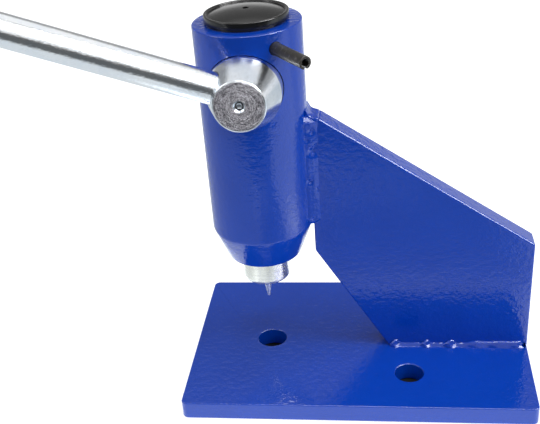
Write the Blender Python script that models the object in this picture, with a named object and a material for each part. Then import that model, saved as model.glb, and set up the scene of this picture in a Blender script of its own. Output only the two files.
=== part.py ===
"""Bench hand press: a welded base and column carry an upright barrel.

A cross shaft with an eccentric journal turns in the barrel. Its lever pushes the ram
down, and a spring under a snap ring lifts the ram again. One object per piece, metres,
+Z up. The base plate's underside is z = 0, and x = y = 0 is its middle.
"""

import math

import bmesh
import bpy
from mathutils import Matrix, Vector

MM = 0.001
DEG = math.pi / 180

# Clearances between mating pieces
RUNNING = 0.2 * MM          # on the radius of a fit that moves
SNUG = 0.2 * MM             # on the radius of a fit that is fixed
SEAT = 0.3 * MM             # between two faces that rest on each other
WELD_GAP = 0.3 * MM         # between a weld bead and the plates that it joins

# Base plate
BASE_LENGTH = 146 * MM
BASE_WIDTH = 94 * MM
BASE_THICKNESS = 8 * MM
BASE_CORNER_RADIUS = 2.6 * MM
RAM_SETBACK = 34 * MM       # from the base's left edge to the ram's axis
DIE_HOLE_RADIUS = 6.4 * MM
BOLT_HOLE_RADIUS = 6 * MM
BOLT_HOLE_REACH = 61 * MM   # from the ram's axis to the bolt holes, along the base
BOLT_HOLE_SPACING = 49 * MM

# Column plate, heights above the base plate
COLUMN_THICKNESS = 10 * MM
COLUMN_HEAD_HEIGHT = 111.2 * MM
COLUMN_TAIL_HEIGHT = 51 * MM
COLUMN_TOE_HEIGHT = 48.9 * MM
COLUMN_FOOT_REACH = 52.5 * MM  # from the ram's axis to the foot's front corner
COLUMN_ROOT_GAP = 1 * MM     # between the barrel and the plate, bridged by the welds
COLUMN_CORNER_CUT = 3.8 * MM  # off the head's corner at the barrel, filled by the weld
PLATE_EDGE_ROUND = 0.6 * MM

# Barrel
BARREL_RADIUS = 21 * MM
BARREL_LIFT = 47 * MM       # from the base plate up to the barrel's lower end
BARREL_LENGTH = 100 * MM
NOSE_RADIUS = 15.5 * MM
NOSE_CONE_HEIGHT = 14.2 * MM
BARREL_EDGE_CHAMFER = 0.8 * MM
CHAMBER_RADIUS = 14 * MM
GUIDE_LENGTH = 25 * MM      # of the narrow bore that guides the ram

# Eccentric shaft, lengths measured from the barrel's axis
SHAFT_HEIGHT = 125.9 * MM   # above the base plate
JOURNAL_RADIUS = 14.2 * MM
JOURNAL_FRONT = 22.4 * MM
JOURNAL_BACK = 11 * MM
BOSS_FRONT = 34.8 * MM
BOSS_FACE_RADIUS = 9.8 * MM
BOSS_CHAMFER = 0.45 * MM
CRANK_THROW = 7 * MM
CRANK_RADIUS = 7 * MM
CRANK_BACK = 11 * MM
CRANK_WEB = 0.6 * MM        # overlap of the crank with the journal and the tail
TAIL_RADIUS = 6 * MM
TAIL_BACK = 25.4 * MM
TAIL_CHAMFER = 0.6 * MM
CRANK_PHASE = -38 * DEG   # at rest, above the horizontal on the lever's side

# Tail washer and snap ring
SPOT_FACE_DEPTH = 0.6 * MM  # into the back of the barrel
TAIL_WASHER_RADIUS = 9 * MM
TAIL_WASHER_THICKNESS = 1 * MM
SNAP_RING_THICKNESS = 1 * MM
SNAP_RING_WIDTH = 2.4 * MM
SNAP_RING_OPENING = 3.4 * MM
GROOVE_DEPTH = 0.5 * MM

# Lever
ROD_RADIUS = 6 * MM
ROD_ROOT = 24.6 * MM        # from the barrel's axis out to where the rod crosses the shaft's axis
ROD_INSET = 8.2 * MM        # of the rod beyond the shaft's axis
ROD_REACH = 205 * MM        # from the shaft's axis to the rod's shoulder
ROD_CHAMFER = 0.8 * MM
LEVER_RISE = 23.2 * DEG     # above the horizontal at rest
LEVER_LEAN = 12 * DEG       # away from the barrel
STUD_RADIUS = 4 * MM
STUD_LENGTH = 15 * MM
KNOB_RADIUS = 16 * MM
KNOB_FLAT_RADIUS = 8 * MM
INSERT_RADIUS = 6 * MM
INSERT_LENGTH = 17 * MM

# Socket set screws
CLAMP_SCREW_RADIUS = 2.2 * MM
CLAMP_SCREW_SUNK = 0.9 * MM
GUIDE_SCREW_RADIUS = 3 * MM
GUIDE_SCREW_DROP = 6.5 * MM  # below the guide bore's upper end
GUIDE_SCREW_SUNK = 0.8 * MM
GUIDE_DOG_RADIUS = 2 * MM
PUNCH_SCREW_RADIUS = 2 * MM
PUNCH_SCREW_SUNK = 0.4 * MM
SOCKET_SHARE = 0.58         # across the socket's corners, of the screw's diameter
SOCKET_DEPTH = 1.6 * MM

# Ram and punch
RAM_RADIUS = 10 * MM
RAM_LENGTH = 80 * MM
RAM_NOSE_ROUND = 2.2 * MM
RAM_TOP_CHAMFER = 0.6 * MM
RAM_UP_TRAVEL = 10 * MM
RAM_DOWN_TRAVEL = 2.4 * MM
KEYWAY_DEPTH = 2.7 * MM
KEYWAY_SIDE_GAP = 0.2 * MM
KEYWAY_END_GAP = 0.5 * MM
RETAINER_DEPTH = 14 * MM    # from the ram's top to its snap ring
RAM_RING_THICKNESS = 1.2 * MM
SPRING_WASHER_RADIUS = 13.5 * MM
SPRING_WASHER_THICKNESS = 1.5 * MM
SPRING_WIRE_RADIUS = 1.1 * MM
SPRING_MEAN_RADIUS = 12.2 * MM
SPRING_TURNS = 6            # one at each end is closed
PUNCH_SHANK_RADIUS = 3 * MM
PUNCH_SHANK_LENGTH = 22 * MM
PUNCH_ROOT_RADIUS = 2.25 * MM
PUNCH_POINT_LENGTH = 11.1 * MM
PUNCH_TAPER_LENGTH = 6.3 * MM   # of the slow taper below the nose
PUNCH_TAPER_RADIUS = 1.28 * MM  # at its lower end
PUNCH_TIP_RADIUS = 0.55 * MM
PUNCH_SCREW_LIFT = 7 * MM   # from the ram's nose up to the screw

# Stop pin, a slotted spring pin
STOP_HEIGHT = 141 * MM    # above the base plate
STOP_BEARING = 36 * DEG     # round the barrel, from its front towards the column
STOP_RADIUS = 2.4 * MM
STOP_BORE_RADIUS = 1.5 * MM
STOP_SLOT = 1.1 * MM
STOP_REACH = 20.6 * MM      # beyond the barrel

# Top plug
PLUG_RIM_RADIUS = 16.2 * MM
PLUG_RIM_HEIGHT = 3.3 * MM
PLUG_RIM_WIDTH = 2 * MM
PLUG_GROOVE_DEPTH = 0.9 * MM
PLUG_GROOVE_WIDTH = 0.9 * MM
PLUG_DOME_HEIGHT = 4.7 * MM
PLUG_WALL = 1.6 * MM
PLUG_SPIGOT_LENGTH = 6 * MM
PLUG_VENT_RADIUS = 1.2 * MM

# Weld beads
BASE_WELD_LEG = 3.2 * MM
BARREL_WELD_ON_PLATE = 3 * MM
BARREL_WELD_ANGLE = 17 * DEG
BARREL_WELD_LIFT = 1 * MM    # above the barrel's cone
WELD_CROWN = 0.45 * MM
TOP_WELD_RISE = 6.8 * MM

# Facets round a full turn
FINE_STEPS = 64
ROUND_STEPS = 48
SMALL_STEPS = 24
SPRING_STEPS = 16

# Places worked out from the sizes
RAM_X = -BASE_LENGTH / 2 + RAM_SETBACK
BASE_TOP = BASE_THICKNESS
BARREL_BOTTOM = BASE_TOP + BARREL_LIFT
BARREL_TOP = BARREL_BOTTOM + BARREL_LENGTH
GUIDE_TOP = BARREL_BOTTOM + GUIDE_LENGTH
GUIDE_SCREW_Z = GUIDE_TOP - GUIDE_SCREW_DROP
SHAFT_Z = BASE_TOP + SHAFT_HEIGHT
CRANK_OFFSET = Vector((-CRANK_THROW * math.cos(CRANK_PHASE), 0, CRANK_THROW * math.sin(CRANK_PHASE)))
RAM_TOP = SHAFT_Z + CRANK_OFFSET.z - CRANK_RADIUS - SEAT
RAM_NOSE = RAM_TOP - RAM_LENGTH
COLUMN_LEFT = RAM_X + BARREL_RADIUS + COLUMN_ROOT_GAP
COLUMN_RIGHT = BASE_LENGTH / 2
COLUMN_SLOPE = (COLUMN_HEAD_HEIGHT - COLUMN_TAIL_HEIGHT) / (COLUMN_RIGHT - COLUMN_LEFT)
COLUMN_CUT_TOP = BASE_TOP + COLUMN_HEAD_HEIGHT - COLUMN_SLOPE * COLUMN_CORNER_CUT
COLUMN_CUT_FOOT = COLUMN_CUT_TOP - COLUMN_CORNER_CUT
SPOT_FACE = BARREL_RADIUS - SPOT_FACE_DEPTH
LEVER_DIRECTION = Vector((-math.cos(LEVER_RISE) * math.cos(LEVER_LEAN), -math.sin(LEVER_LEAN),
                          math.sin(LEVER_RISE) * math.cos(LEVER_LEAN)))
STOP_DIRECTION = Vector((math.sin(STOP_BEARING), -math.cos(STOP_BEARING), 0))

FRONT = Matrix.Rotation(math.pi / 2, 4, "X")    # turns +Z towards the front, -Y
BACK = Matrix.Rotation(-math.pi / 2, 4, "X")    # turns +Z towards the back, +Y


def clear_scene():
    """Remove whatever the scene holds."""
    for item in list(bpy.data.objects):
        bpy.data.objects.remove(item, do_unlink=True)


def finish(name, color, roughness, metallic):
    """A plain Principled material."""
    made = bpy.data.materials.new(name)
    made.use_nodes = True
    shader = made.node_tree.nodes["Principled BSDF"]
    shader.inputs["Base Color"].default_value = (*color, 1)
    shader.inputs["Roughness"].default_value = roughness
    shader.inputs["Metallic"].default_value = metallic
    return made


def place(name, bm, material=None, matrix=None, parent=None):
    """Turn a bmesh into a named object at a matrix."""
    bmesh.ops.remove_doubles(bm, verts=bm.verts, dist=1e-7)
    bmesh.ops.recalc_face_normals(bm, faces=bm.faces)
    mesh = bpy.data.meshes.new(name)
    bm.to_mesh(mesh)
    bm.free()
    item = bpy.data.objects.new(name, mesh)
    bpy.context.collection.objects.link(item)
    mesh.shade_smooth()
    mesh.set_sharp_from_angle(angle=30 * DEG)
    if material:
        mesh.materials.append(material)
    if matrix:
        item.matrix_world = matrix
    if parent:
        item.parent = parent
        item.matrix_parent_inverse = parent.matrix_world.inverted()
    return item


def turned(profile, segments, closed=False):
    """Spin (radius, height) points round Z. A closed profile is a ring that clears the axis."""
    bm = bmesh.new()
    verts = [bm.verts.new((radius, 0, height)) for radius, height in profile]
    edges = [bm.edges.new(pair) for pair in zip(verts, verts[1:])]
    if closed:
        edges.append(bm.edges.new((verts[-1], verts[0])))
    bmesh.ops.spin(bm, geom=verts + edges, cent=(0, 0, 0), axis=(0, 0, 1), angle=2 * math.pi,
                   steps=segments, use_merge=True)
    return bm


def rod(radius, low, high, segments):
    """A plain round bar along Z."""
    return turned([(0, low), (radius, low), (radius, high), (0, high)], segments)


def extruded(outline, low, high):
    """Extrude a flat (x, y) outline along Z."""
    bm = bmesh.new()
    face = bm.faces.new([bm.verts.new((x, y, low)) for x, y in outline])
    raised = bmesh.ops.extrude_face_region(bm, geom=[face])["geom"]
    moved = [item for item in raised if isinstance(item, bmesh.types.BMVert)]
    bmesh.ops.translate(bm, verts=moved, vec=(0, 0, high - low))
    return bm


def block(low, high):
    """A box between two corners."""
    return extruded([(low[0], low[1]), (high[0], low[1]), (high[0], high[1]), (low[0], high[1])],
                    low[2], high[2])


def arc(center, radius, start, end, steps):
    """Points along an arc, with both its ends."""
    turns = [start + (end - start) * step / steps for step in range(steps + 1)]
    return [(center[0] + radius * math.cos(turn), center[1] + radius * math.sin(turn)) for turn in turns]


def crowned(start, end, crown, steps=4):
    """Points between two corners along a line that swells by crown to its left."""
    path = Vector(end) - Vector(start)
    out = Vector((-path.y, path.x)).normalized()
    points = []
    for step in range(1, steps):
        share = step / steps
        points.append(tuple(Vector(start) + path * share + out * crown * math.sin(math.pi * share)))
    return points


def open_ring(inner, outer, opening, length, segments):
    """A slotted tube or snap ring along Z from 0, its slot towards +X."""
    outer_half = math.asin(opening / 2 / outer)
    inner_half = math.asin(opening / 2 / inner)
    outline = arc((0, 0), outer, outer_half, 2 * math.pi - outer_half, segments)
    outline += arc((0, 0), inner, 2 * math.pi - inner_half, inner_half, segments)
    return extruded(outline, 0, length)


def combine(target, other, operation):
    """Add a live boolean of a guide object to the target."""
    other.hide_render = True
    other.display_type = "WIRE"
    step = target.modifiers.new(other.name, "BOOLEAN")
    step.operation = operation
    step.solver = "EXACT"
    step.object = other


def cut(target, name, bm, matrix=None):
    """Cut a bmesh's shape out of the target."""
    combine(target, place(name, bm, matrix=matrix), "DIFFERENCE")


def join(target, name, bm, matrix=None):
    """Weld a bmesh's shape to the target."""
    combine(target, place(name, bm, matrix=matrix), "UNION")


def rounded(target, width, segments=2):
    """Round the target's hard edges."""
    step = target.modifiers.new("edges", "BEVEL")
    step.width = width
    step.segments = segments
    step.limit_method = "ANGLE"
    step.angle_limit = 40 * DEG


def at(x, y, z):
    """A matrix that only moves."""
    return Matrix.Translation((x, y, z))


def aimed(point, direction):
    """A matrix that moves the origin to a point and turns +Z to a direction."""
    return Matrix.Translation(point) @ direction.to_track_quat("Z", "Y").to_matrix().to_4x4()


def add_base_plate(paint):
    """The flat plate with the die hole under the ram and two bolt holes."""
    half_x = BASE_LENGTH / 2 - BASE_CORNER_RADIUS
    half_y = BASE_WIDTH / 2 - BASE_CORNER_RADIUS
    outline = []
    for number, (side_x, side_y) in enumerate([(1, 1), (-1, 1), (-1, -1), (1, -1)]):
        start = number * math.pi / 2
        outline += arc((side_x * half_x, side_y * half_y), BASE_CORNER_RADIUS, start, start + math.pi / 2, 4)
    plate = place("base_plate", extruded(outline, 0, BASE_THICKNESS), paint)
    rounded(plate, PLATE_EDGE_ROUND)
    below, above = -BASE_THICKNESS, 2 * BASE_THICKNESS
    cut(plate, "cut_die_hole", rod(DIE_HOLE_RADIUS, below, above, ROUND_STEPS), at(RAM_X, 0, 0))
    for side, word in ((-1, "front"), (1, "back")):
        spot = at(RAM_X + BOLT_HOLE_REACH, side * BOLT_HOLE_SPACING / 2, 0)
        cut(plate, f"cut_bolt_hole_{word}", rod(BOLT_HOLE_RADIUS, below, above, ROUND_STEPS), spot)


def add_column_plate(paint):
    """The upright web between the base plate and the barrel."""
    foot = BASE_TOP + SEAT
    outline = [
        (COLUMN_RIGHT, foot),
        (COLUMN_RIGHT, BASE_TOP + COLUMN_TAIL_HEIGHT),
        (COLUMN_LEFT + COLUMN_CORNER_CUT, COLUMN_CUT_TOP),
        (COLUMN_LEFT, COLUMN_CUT_FOOT),
        (COLUMN_LEFT, BASE_TOP + COLUMN_TOE_HEIGHT),
        (RAM_X + COLUMN_FOOT_REACH, foot),
    ]
    half = COLUMN_THICKNESS / 2
    plate = place("column_plate", extruded(outline, -half, half), paint, FRONT)
    rounded(plate, PLATE_EDGE_ROUND)


def add_base_welds(paint):
    """A fillet bead on each side of the column plate's foot."""
    face = COLUMN_THICKNESS / 2 + WELD_GAP
    floor = BASE_TOP + WELD_GAP
    toe = (face + BASE_WELD_LEG, floor)
    top = (face, floor + BASE_WELD_LEG)
    outline = [(face, floor), toe, *crowned(toe, top, -WELD_CROWN), top]
    start = RAM_X + COLUMN_FOOT_REACH + BASE_WELD_LEG / 2
    end = COLUMN_RIGHT - BASE_WELD_LEG / 2
    for side, word in ((1, "back"), (-1, "front")):
        turned_outline = [(side * y, z) for y, z in outline]
        upright = Matrix(((0, 0, 1, 0), (1, 0, 0, 0), (0, 1, 0, 0), (0, 0, 0, 1)))
        place(f"base_weld_{word}", extruded(turned_outline, start, end), paint, upright)


def add_barrel_welds(paint):
    """A bead on each side of the barrel's joint with the column plate, and one over its top."""
    radius = BARREL_RADIUS + WELD_GAP
    face = COLUMN_THICKNESS / 2 + WELD_GAP
    first = math.asin(face / radius)
    toe = COLUMN_LEFT - RAM_X + BARREL_WELD_ON_PLATE
    on_barrel = arc((0, 0), radius, BARREL_WELD_ANGLE, first, 4)
    crown = crowned((toe, face), on_barrel[0], -WELD_CROWN)
    outline = on_barrel + [(toe, face)] + crown
    low = BARREL_BOTTOM + NOSE_CONE_HEIGHT + BARREL_WELD_LIFT
    high = COLUMN_CUT_FOOT
    for side, word in ((1, "back"), (-1, "front")):
        mirrored = [(x, side * y) for x, y in outline]
        place(f"barrel_weld_{word}", extruded(mirrored, low, high), paint, at(RAM_X, 0, 0))
    left = COLUMN_LEFT - RAM_X
    bottom = COLUMN_CUT_FOOT + WELD_GAP
    wedge = [
        (CHAMBER_RADIUS, bottom),
        (left, bottom),
        (left + COLUMN_CORNER_CUT, bottom + COLUMN_CORNER_CUT),
        (radius + WELD_CROWN, bottom + TOP_WELD_RISE),
        (CHAMBER_RADIUS, bottom + TOP_WELD_RISE),
    ]
    half = COLUMN_THICKNESS / 2
    bead = place("barrel_weld_top", extruded(wedge, -half, half), paint, at(RAM_X, 0, 0) @ FRONT)
    round_bar = rod(radius, bottom - TOP_WELD_RISE, bottom + 2 * TOP_WELD_RISE, FINE_STEPS)
    cut(bead, "cut_barrel_weld_top", round_bar, at(RAM_X, 0, 0))


def add_barrel(paint):
    """The upright bar: guide bore below, chamber above, cross bore for the shaft."""
    profile = [
        (NOSE_RADIUS, BARREL_BOTTOM),
        (BARREL_RADIUS, BARREL_BOTTOM + NOSE_CONE_HEIGHT),
        (BARREL_RADIUS, BARREL_TOP - BARREL_EDGE_CHAMFER),
        (BARREL_RADIUS - BARREL_EDGE_CHAMFER, BARREL_TOP),
        (CHAMBER_RADIUS, BARREL_TOP),
        (CHAMBER_RADIUS, GUIDE_TOP),
        (RAM_RADIUS + RUNNING, GUIDE_TOP),
        (RAM_RADIUS + RUNNING, BARREL_BOTTOM),
    ]
    barrel = place("barrel", turned(profile, FINE_STEPS, closed=True), paint, at(RAM_X, 0, 0))
    shaft = at(RAM_X, 0, SHAFT_Z)
    outside = 2 * BARREL_RADIUS
    cut(barrel, "cut_cross_bore", rod(JOURNAL_RADIUS + RUNNING, -CRANK_BACK - SEAT, outside, FINE_STEPS),
        shaft @ FRONT)
    tail_bore = TAIL_RADIUS + RUNNING
    spot = TAIL_WASHER_RADIUS + RUNNING
    stepped = [(0, 0), (tail_bore, 0), (tail_bore, SPOT_FACE),
               (spot, SPOT_FACE), (spot, outside), (0, outside)]
    cut(barrel, "cut_tail_bore", turned(stepped, ROUND_STEPS), shaft @ BACK)
    stop = aimed((RAM_X, 0, BASE_TOP + STOP_HEIGHT), STOP_DIRECTION)
    cut(barrel, "cut_stop_hole", rod(STOP_RADIUS + SNUG, 0, outside, SMALL_STEPS), stop)
    guide = at(RAM_X, 0, GUIDE_SCREW_Z)
    screw_hole = rod(GUIDE_SCREW_RADIUS + SNUG, 0, outside, SMALL_STEPS)
    cut(barrel, "cut_guide_screw_hole", screw_hole, guide @ BACK)


def add_stop_pin(steel):
    """The spring pin that stops the raised lever, its slot turned down."""
    start = CHAMBER_RADIUS + SEAT
    length = BARREL_RADIUS + STOP_REACH - start
    slot_down = Matrix.Rotation(-math.pi / 2, 4, "Z")
    frame = aimed(Vector((RAM_X, 0, BASE_TOP + STOP_HEIGHT)) + STOP_DIRECTION * start, STOP_DIRECTION)
    tube = open_ring(STOP_BORE_RADIUS, STOP_RADIUS, STOP_SLOT, length, 20)
    place("stop_pin", tube, steel, frame @ slot_down)


def add_top_plug(plastic):
    """The domed plug in the chamber's open top, with a vent."""
    under = BARREL_TOP + SEAT
    rim_top = under + PLUG_RIM_HEIGHT
    rim_inner = PLUG_RIM_RADIUS - PLUG_RIM_WIDTH
    dome_edge = rim_inner - PLUG_GROOVE_WIDTH
    dome_low = rim_top - PLUG_GROOVE_DEPTH
    rise = under + PLUG_DOME_HEIGHT - dome_low
    reach = dome_edge - PLUG_VENT_RADIUS
    spigot = CHAMBER_RADIUS - SNUG
    inner = spigot - PLUG_WALL
    dome = []
    for step in range(7):
        share = step / 6
        dome.append((PLUG_VENT_RADIUS + reach * share, dome_low + rise * (1 - share * share)))
    hollow = [(radius, height - PLUG_WALL) for radius, height in reversed(dome) if radius < inner]
    profile = dome + [
        (rim_inner, rim_top - PLUG_GROOVE_DEPTH / 3),
        (rim_inner + PLUG_GROOVE_DEPTH / 3, rim_top),
        (PLUG_RIM_RADIUS - PLUG_GROOVE_DEPTH / 3, rim_top),
        (PLUG_RIM_RADIUS, rim_top - PLUG_GROOVE_DEPTH / 3),
        (PLUG_RIM_RADIUS, under),
        (spigot, under),
        (spigot, under - PLUG_SPIGOT_LENGTH),
        (inner, under - PLUG_SPIGOT_LENGTH),
    ] + hollow
    place("top_plug", turned(profile, ROUND_STEPS, closed=True), plastic, at(RAM_X, 0, 0))


def set_screw(name, radius, length, steel, matrix, parent=None, dog_radius=0, dog_length=0):
    """A socket set screw along +Z, with its socket at the far end and an optional dog at 0."""
    edge = radius / 6
    profile = [(0, 0)]
    if dog_length:
        profile += [(dog_radius, 0), (dog_radius, dog_length)]
    profile += [(radius - edge, dog_length), (radius, dog_length + edge), (radius, length - edge),
                (radius - edge, length), (0, length)]
    screw = place(name, turned(profile, SMALL_STEPS), steel, matrix, parent)
    hexagon = rod(radius * SOCKET_SHARE, length - SOCKET_DEPTH, length + SOCKET_DEPTH, 6)
    cut(screw, f"cut_{name}_socket", hexagon, matrix)


def add_guide_screw(steel):
    """The dog-point screw in the barrel's back that keeps the ram from turning."""
    depth = RAM_RADIUS - KEYWAY_DEPTH + SEAT
    length = BARREL_RADIUS - GUIDE_SCREW_SUNK - depth
    dog_length = RAM_RADIUS + RUNNING + SEAT - depth
    frame = at(RAM_X, depth, GUIDE_SCREW_Z) @ BACK
    set_screw("ram_guide_screw", GUIDE_SCREW_RADIUS, length, steel, frame,
              dog_radius=GUIDE_DOG_RADIUS, dog_length=dog_length)


def add_eccentric_shaft(zinc, pivot):
    """The one-piece cross shaft: tapered boss, big journal, crank and tail."""
    frame = at(RAM_X, 0, SHAFT_Z)
    taper = (JOURNAL_RADIUS - BOSS_FACE_RADIUS) / (BOSS_FRONT - JOURNAL_FRONT)
    front = [
        (0, JOURNAL_BACK),
        (JOURNAL_RADIUS, JOURNAL_BACK),
        (JOURNAL_RADIUS, JOURNAL_FRONT),
        (BOSS_FACE_RADIUS + taper * BOSS_CHAMFER, BOSS_FRONT - BOSS_CHAMFER),
        (BOSS_FACE_RADIUS - BOSS_CHAMFER, BOSS_FRONT),
        (0, BOSS_FRONT),
    ]
    shaft = place("eccentric_shaft", turned(front, FINE_STEPS), zinc, frame @ FRONT, pivot)
    crank = rod(CRANK_RADIUS, -CRANK_BACK, JOURNAL_BACK + CRANK_WEB, ROUND_STEPS)
    join(shaft, "add_crank", crank, Matrix.Translation(CRANK_OFFSET) @ frame @ FRONT)
    groove = SPOT_FACE + SEAT + TAIL_WASHER_THICKNESS + SEAT
    neck = TAIL_RADIUS - GROOVE_DEPTH
    groove_end = groove + SNAP_RING_THICKNESS + 2 * SEAT
    tail = [
        (0, CRANK_BACK - CRANK_WEB),
        (TAIL_RADIUS, CRANK_BACK - CRANK_WEB),
        (TAIL_RADIUS, groove),
        (neck, groove),
        (neck, groove_end),
        (TAIL_RADIUS, groove_end),
        (TAIL_RADIUS, TAIL_BACK - TAIL_CHAMFER),
        (TAIL_RADIUS - TAIL_CHAMFER, TAIL_BACK),
        (0, TAIL_BACK),
    ]
    join(shaft, "add_tail", turned(tail, ROUND_STEPS), frame @ BACK)
    root = Vector((RAM_X, -ROD_ROOT, SHAFT_Z))
    hole = rod(ROD_RADIUS + SNUG, -ROD_INSET - SEAT, 4 * ROD_RADIUS, ROUND_STEPS)
    cut(shaft, "cut_lever_hole", hole, aimed(root, LEVER_DIRECTION))
    screw_hole = rod(CLAMP_SCREW_RADIUS + SNUG, ROD_ROOT, 2 * BOSS_FRONT, SMALL_STEPS)
    cut(shaft, "cut_clamp_screw_hole", screw_hole, frame @ FRONT)
    mouth = CLAMP_SCREW_RADIUS + SNUG + BOSS_CHAMFER
    countersink = turned([(0, -mouth), (2 * mouth, mouth), (0, mouth)], SMALL_STEPS)
    cut(shaft, "cut_clamp_screw_sink", countersink, frame @ FRONT @ at(0, 0, BOSS_FRONT))


def add_tail_fittings(steel, pivot):
    """The washer and snap ring that hold the shaft at the barrel's back."""
    frame = at(RAM_X, 0, SHAFT_Z) @ BACK
    start = SPOT_FACE + SEAT
    washer = [
        (TAIL_RADIUS + SNUG, start),
        (TAIL_WASHER_RADIUS, start),
        (TAIL_WASHER_RADIUS, start + TAIL_WASHER_THICKNESS),
        (TAIL_RADIUS + SNUG, start + TAIL_WASHER_THICKNESS),
    ]
    place("tail_washer", turned(washer, ROUND_STEPS, closed=True), steel, frame, pivot)
    inner = TAIL_RADIUS - GROOVE_DEPTH + SNUG
    ring = open_ring(inner, inner + SNAP_RING_WIDTH, SNAP_RING_OPENING, SNAP_RING_THICKNESS, 30)
    lift = start + TAIL_WASHER_THICKNESS + 2 * SEAT
    place("tail_snap_ring", ring, steel, frame @ at(0, 0, lift), pivot)


def add_clamp_screw(steel, pivot):
    """The set screw in the boss's face that clamps the lever rod."""
    seat = ROD_ROOT + ROD_RADIUS / math.cos(LEVER_LEAN) + CLAMP_SCREW_RADIUS * math.tan(LEVER_LEAN) + SEAT
    length = BOSS_FRONT - CLAMP_SCREW_SUNK - seat
    frame = at(RAM_X, 0, SHAFT_Z) @ FRONT @ at(0, 0, seat)
    set_screw("lever_clamp_screw", CLAMP_SCREW_RADIUS, length, steel, frame, pivot)


def add_lever(zinc, brass, plastic, pivot):
    """The rod, and the ball knob with its threaded insert."""
    frame = aimed(Vector((RAM_X, -ROD_ROOT, SHAFT_Z)), LEVER_DIRECTION)
    stud_end = ROD_REACH + STUD_LENGTH
    bar = [
        (0, -ROD_INSET),
        (ROD_RADIUS - ROD_CHAMFER, -ROD_INSET),
        (ROD_RADIUS, -ROD_INSET + ROD_CHAMFER),
        (ROD_RADIUS, ROD_REACH - ROD_CHAMFER),
        (ROD_RADIUS - ROD_CHAMFER, ROD_REACH),
        (STUD_RADIUS, ROD_REACH),
        (STUD_RADIUS, stud_end - ROD_CHAMFER),
        (STUD_RADIUS - ROD_CHAMFER, stud_end),
        (0, stud_end),
    ]
    place("lever_rod", turned(bar, ROUND_STEPS), zinc, frame, pivot)
    start = ROD_REACH + SEAT
    insert = [(STUD_RADIUS + SNUG, start), (INSERT_RADIUS, start), (INSERT_RADIUS, start + INSERT_LENGTH),
              (STUD_RADIUS + SNUG, start + INSERT_LENGTH)]
    place("knob_insert", turned(insert, SMALL_STEPS, closed=True), brass, frame, pivot)
    ball_center = start + math.sqrt(KNOB_RADIUS ** 2 - KNOB_FLAT_RADIUS ** 2)
    flat_angle = math.asin(KNOB_FLAT_RADIUS / KNOB_RADIUS)
    bore = INSERT_RADIUS + SNUG
    bore_end = start + INSERT_LENGTH + SEAT
    ball = arc((0, ball_center), KNOB_RADIUS, flat_angle - math.pi / 2, math.pi / 2, 14)
    ball[-1] = (0, ball_center + KNOB_RADIUS)
    profile = [(0, bore_end), (bore, bore_end), (bore, start), *ball]
    place("lever_knob", turned(profile, 32), plastic, frame, pivot)


def add_ram(zinc, carrier):
    """The round ram, with its keyway, snap ring groove and punch bore."""
    ring_high = RAM_TOP - RETAINER_DEPTH
    groove_low = ring_high - RAM_RING_THICKNESS - SEAT
    neck = RAM_RADIUS - GROOVE_DEPTH
    profile = [
        (0, RAM_NOSE),
        *arc((RAM_RADIUS - RAM_NOSE_ROUND, RAM_NOSE + RAM_NOSE_ROUND), RAM_NOSE_ROUND, -math.pi / 2, 0, 5),
        (RAM_RADIUS, groove_low),
        (neck, groove_low),
        (neck, ring_high + SEAT),
        (RAM_RADIUS, ring_high + SEAT),
        (RAM_RADIUS, RAM_TOP - RAM_TOP_CHAMFER),
        (RAM_RADIUS - RAM_TOP_CHAMFER, RAM_TOP),
        (0, RAM_TOP),
    ]
    ram = place("ram", turned(profile, FINE_STEPS), zinc, at(RAM_X, 0, 0), carrier)
    half = GUIDE_DOG_RADIUS + KEYWAY_SIDE_GAP
    keyway = block((-half, RAM_RADIUS - KEYWAY_DEPTH, GUIDE_SCREW_Z - half - RAM_UP_TRAVEL - KEYWAY_END_GAP),
                   (half, 2 * RAM_RADIUS, GUIDE_SCREW_Z + half + RAM_DOWN_TRAVEL + KEYWAY_END_GAP))
    cut(ram, "cut_keyway", keyway, at(RAM_X, 0, 0))
    bore_top = RAM_NOSE + PUNCH_SHANK_LENGTH + SEAT
    punch_bore = rod(PUNCH_SHANK_RADIUS + SNUG, RAM_NOSE - RAM_RADIUS, bore_top, SMALL_STEPS)
    cut(ram, "cut_punch_bore", punch_bore, at(RAM_X, 0, 0))
    screw_hole = rod(PUNCH_SCREW_RADIUS + SNUG, 0, 2 * RAM_RADIUS, SMALL_STEPS)
    cut(ram, "cut_punch_screw_hole", screw_hole, at(RAM_X, 0, RAM_NOSE + PUNCH_SCREW_LIFT) @ BACK)


def add_punch(steel, zinc, carrier):
    """The pointed punch in the ram's nose, and the screw that holds it."""
    tip = RAM_NOSE - PUNCH_POINT_LENGTH
    profile = [
        (0, tip),
        (PUNCH_TIP_RADIUS * 0.6, tip),
        (PUNCH_TIP_RADIUS, tip + PUNCH_TIP_RADIUS),
        (PUNCH_TAPER_RADIUS, RAM_NOSE - PUNCH_TAPER_LENGTH),
        (PUNCH_ROOT_RADIUS, RAM_NOSE),
        (PUNCH_SHANK_RADIUS, RAM_NOSE),
        (PUNCH_SHANK_RADIUS, RAM_NOSE + PUNCH_SHANK_LENGTH),
        (0, RAM_NOSE + PUNCH_SHANK_LENGTH),
    ]
    place("punch", turned(profile, SMALL_STEPS), zinc, at(RAM_X, 0, 0), carrier)
    start = PUNCH_SHANK_RADIUS + SEAT
    length = RAM_RADIUS - PUNCH_SCREW_SUNK - start
    frame = at(RAM_X, start, RAM_NOSE + PUNCH_SCREW_LIFT) @ BACK
    set_screw("punch_screw", PUNCH_SCREW_RADIUS, length, steel, frame, carrier)


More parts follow.
